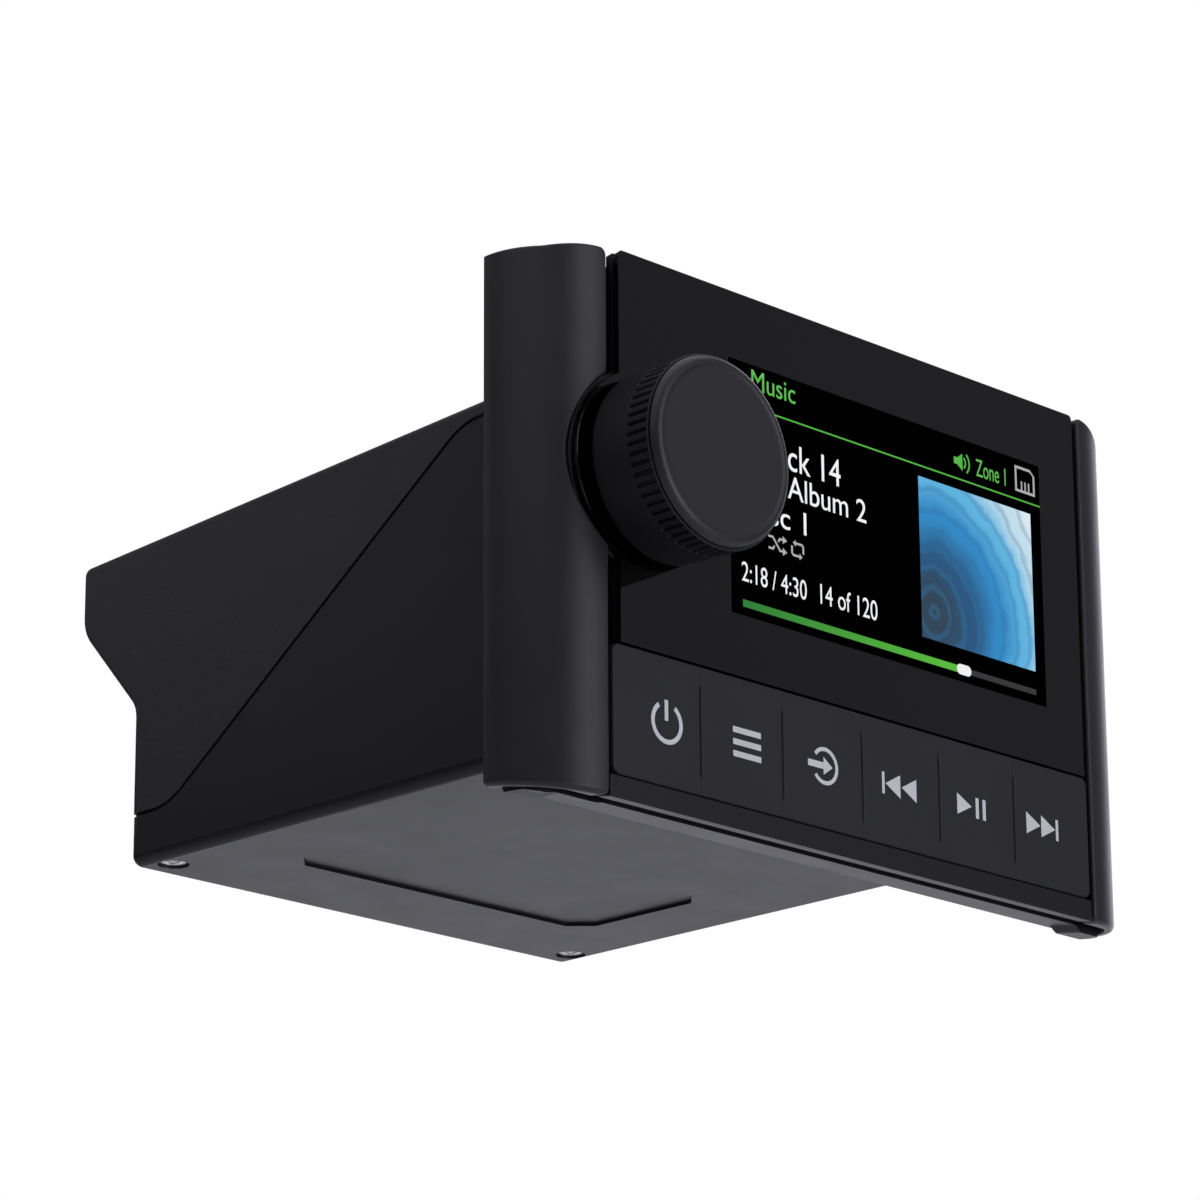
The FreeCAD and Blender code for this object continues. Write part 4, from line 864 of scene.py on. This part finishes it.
def make_housing_screws():
    """Two pan heads with a cross recess, seen from below, on plain shanks.

    The head's height over its seat is 1 - 0.25 (r / R)^2, less 0.6 where the smaller of |x| and |y|
    is within the recess's arm.
    """
    rows, cols, reach, shank = 36, 96, 2.2, 1.25
    thick, dome, recess = 1.0, 0.25, 0.6
    arm_half, arm_floor, arm_end, arm_floor_end = 0.42, 0.24, 1.45, 1.2
    seat, tip = -28.75, -12.8
    r = (np.linspace(0, 1, rows)[1:] ** 0.9 * reach)[:, None]
    a = np.linspace(0, 2 * math.pi, cols, endpoint=False)[None, :] + 0 * r
    x, y = r * np.cos(a), r * np.sin(a)
    beside, along = np.minimum(np.abs(x), np.abs(y)), np.maximum(np.abs(x), np.abs(y))
    arm = rise(beside, arm_half, arm_floor) * rise(along, arm_end, arm_floor_end)
    high = thick - dome * (r / reach) ** 2 - recess * arm
    points, faces = [], []
    for cx, cy in ((-43.4, 91.4), (43.4, 91.4)):
        top = np.stack([cx + x, cy + y, seat - high], -1).reshape(-1, 3)
        rim = top[-cols:].copy()
        rim[:, 2] = seat
        shrink = shank / reach
        neck = np.stack([cx + x[-1] * shrink, cy + y[-1] * shrink, np.full(cols, seat)], -1)
        foot = neck.copy()
        foot[:, 2] = tip
        rings = np.vstack([top, rim, neck, foot])
        start = len(points)
        middle = start + len(rings)
        points += rings.tolist() + [(cx, cy, seat - thick + recess)]
        faces += grid_quads(len(rings) // cols, cols, round_cols=True, start=start)
        faces += [(middle, start + c, start + (c + 1) % cols) for c in range(cols)]
        faces.append([middle - cols + c for c in range(cols)])
    piece("closing_screws", points, faces, TURNED_STEEL, slot="steel", stands_for=["housing_screws"])


def pins(name, places, half, root, tip):
    """Square contacts in a socket, each with a pointed tip towards the plug."""
    point_long, point_share = 0.5, 0.4
    corners = ((-1, -1), (1, -1), (1, 1), (-1, 1))
    points, faces = [], []
    for x, z in places:
        start = len(points)
        for y, size in ((root, half), (tip - point_long, half), (tip, half * point_share)):
            points += [(x + size * across, y, z + size * up) for across, up in corners]
        faces += grid_quads(3, 4, round_cols=True, start=start)
        faces += [range(start, start + 4), range(start + 11, start + 7, -1)]
    piece(name, points, faces, TURNED_STEEL, slot="steel")


def make_contacts():
    """The contacts of the five sockets, which stand in one row under the hood."""
    middle = -13.0

    def even(x, pitch, count, heights):
        """Evenly spaced places about x, one at each height from the sockets' middle."""
        return [(x + pitch * (i - (count - 1) / 2), middle + z) for i in range(count) for z in heights]

    pins("power_contacts", even(-29.5, 2.0, 8, (-1.8, 1.8)), 0.4, 91.8, 98.0)
    pins("audio_contacts", even(-10.5, 2.0, 6, (-1.8, 1.8)), 0.35, 91.8, 98.0)
    pins("network_contacts", even(7.0, 1.1, 8, (-2.2,)), 0.2, 91.8, 99.0)
    pins("data_contacts", bend((22.6, middle), 2.4, 40, 328, 5), 0.35, 92.8, 98.5)
    pins("antenna_contact", [(34.6, middle)], 0.6, 92.8, 99.0)


make_trim("left_cap", -1, "left_trim")
make_trim("right_cap", 1, "right_trim")
make_tray_ends()
make_groove_ends()
make_knob()
make_keys()
make_symbols()
make_screen()
make_housing_screws()
make_contacts()


# Camera, as the photograph was taken: from low on the left

def make_camera():
    """The camera's lens, place and turn, in metres."""
    camera = bpy.data.cameras.new("camera")
    camera.lens = 147.14
    camera.sensor_width = 36.0
    camera.shift_x = 0.003413
    camera.shift_y = -0.013436
    camera.clip_start = 0.01
    item = bpy.data.objects.new("camera", camera)
    ahead = Vector((0.67742366, 0.66968478, 0.30433448))
    right = Vector((0.70429836, -0.70988182, -0.00562316))
    up = right.cross(ahead)
    turn = Matrix((right, up, -ahead)).transposed()
    item.matrix_world = Matrix.Translation((-0.520765, -0.472778, -0.219894)) @ turn.to_4x4()
    bpy.context.scene.collection.objects.link(item)
    bpy.context.scene.camera = item


# Studio

def soft_box(name, direction, distance, wide, high, bright):
    """A soft light that looks at the object; bright is the light it sends out per area."""
    target = Vector((0, 0.04, 0))
    light = bpy.data.lights.new(name, "AREA")
    light.shape = "RECTANGLE"
    light.size, light.size_y = wide, high
    light.energy = bright * math.pi * wide * high
    light.color = (0.955, 0.965, 1.07)
    item = bpy.data.objects.new(name, light)
    way = Vector(direction).normalized()
    item.location = way * distance + target
    item.rotation_mode = "QUATERNION"
    item.rotation_quaternion = way.to_track_quat("Z", "Y")
    item.visible_camera = False
    bpy.context.scene.collection.objects.link(item)


def make_studio():
    """A pale floor well below, a white surround, and soft boxes all round, each for one side."""
    size, level, dim_strength = 5.0, -0.4, 0.085
    grey, pale = (0.8, 0.8, 0.8), (0.84, 0.84, 0.84)
    corners = ((-size, -size), (size, -size), (size, size), (-size, size))
    mesh = bpy.data.meshes.new("floor")
    mesh.from_pydata([(x, y, level) for x, y in corners], [], [(0, 1, 2, 3)])
    floor = bpy.data.objects.new("floor", mesh)
    bpy.context.scene.collection.objects.link(floor)
    n = Nodes("pale_floor")
    n.join(n.ramp(n.noise(0.0008), (0.3, grey), (0.7, pale)), n.shader.inputs["Base Color"])
    n.shader.inputs["Roughness"].default_value = 0.9
    mesh.materials.append(n.material)
    world = bpy.data.worlds.new("studio")
    world.use_nodes = True
    bpy.context.scene.world = world
    tree = world.node_tree
    tree.nodes.clear()
    seen = tree.nodes.new("ShaderNodeLightPath").outputs["Is Camera Ray"]
    white = tree.nodes.new("ShaderNodeBackground")
    white.inputs["Color"].default_value = (1, 1, 1, 1)
    dim = tree.nodes.new("ShaderNodeBackground")
    dim.inputs["Color"].default_value = (0.96, 0.95, 1.06, 1)
    dim.inputs["Strength"].default_value = dim_strength
    mix = tree.nodes.new("ShaderNodeMixShader")
    out = tree.nodes.new("ShaderNodeOutputWorld")
    tree.links.new(seen, mix.inputs[0])
    tree.links.new(dim.outputs[0], mix.inputs[1])
    tree.links.new(white.outputs[0], mix.inputs[2])
    tree.links.new(mix.outputs[0], out.inputs[0])
    soft_box("front_box", (0.2, -0.93, 0.2), 1.5, 1.0, 1.3, 1.5)
    soft_box("low_box", (0.12, -0.97, -0.17), 1.5, 0.35, 0.3, 6.0)
    soft_box("panel_card", (0.72, -0.62, 0.33), 1.5, 0.9, 0.9, 0.13)
    soft_box("back_box", (0.74, 0.67, 0.1), 1.5, 2.0, 2.0, 0.94)
    soft_box("right_box", (0.95, 0.2, 0.3), 1.4, 0.8, 1.4, 1.5)
    soft_box("left_box", (-0.2, 0.245, 0.14), 0.346, 0.16, 0.16, 0.5)
    soft_box("left_card", (-0.954, -0.301, 0.65), 0.38, 0.41, 0.22, 0.62)
    soft_box("top_box", (0, 0, 1), 1.7, 2.4, 2.4, 0.85)


make_camera()
make_studio()
bpy.context.scene.view_settings.view_transform = "Standard"

bpy.context.view_layer.update()
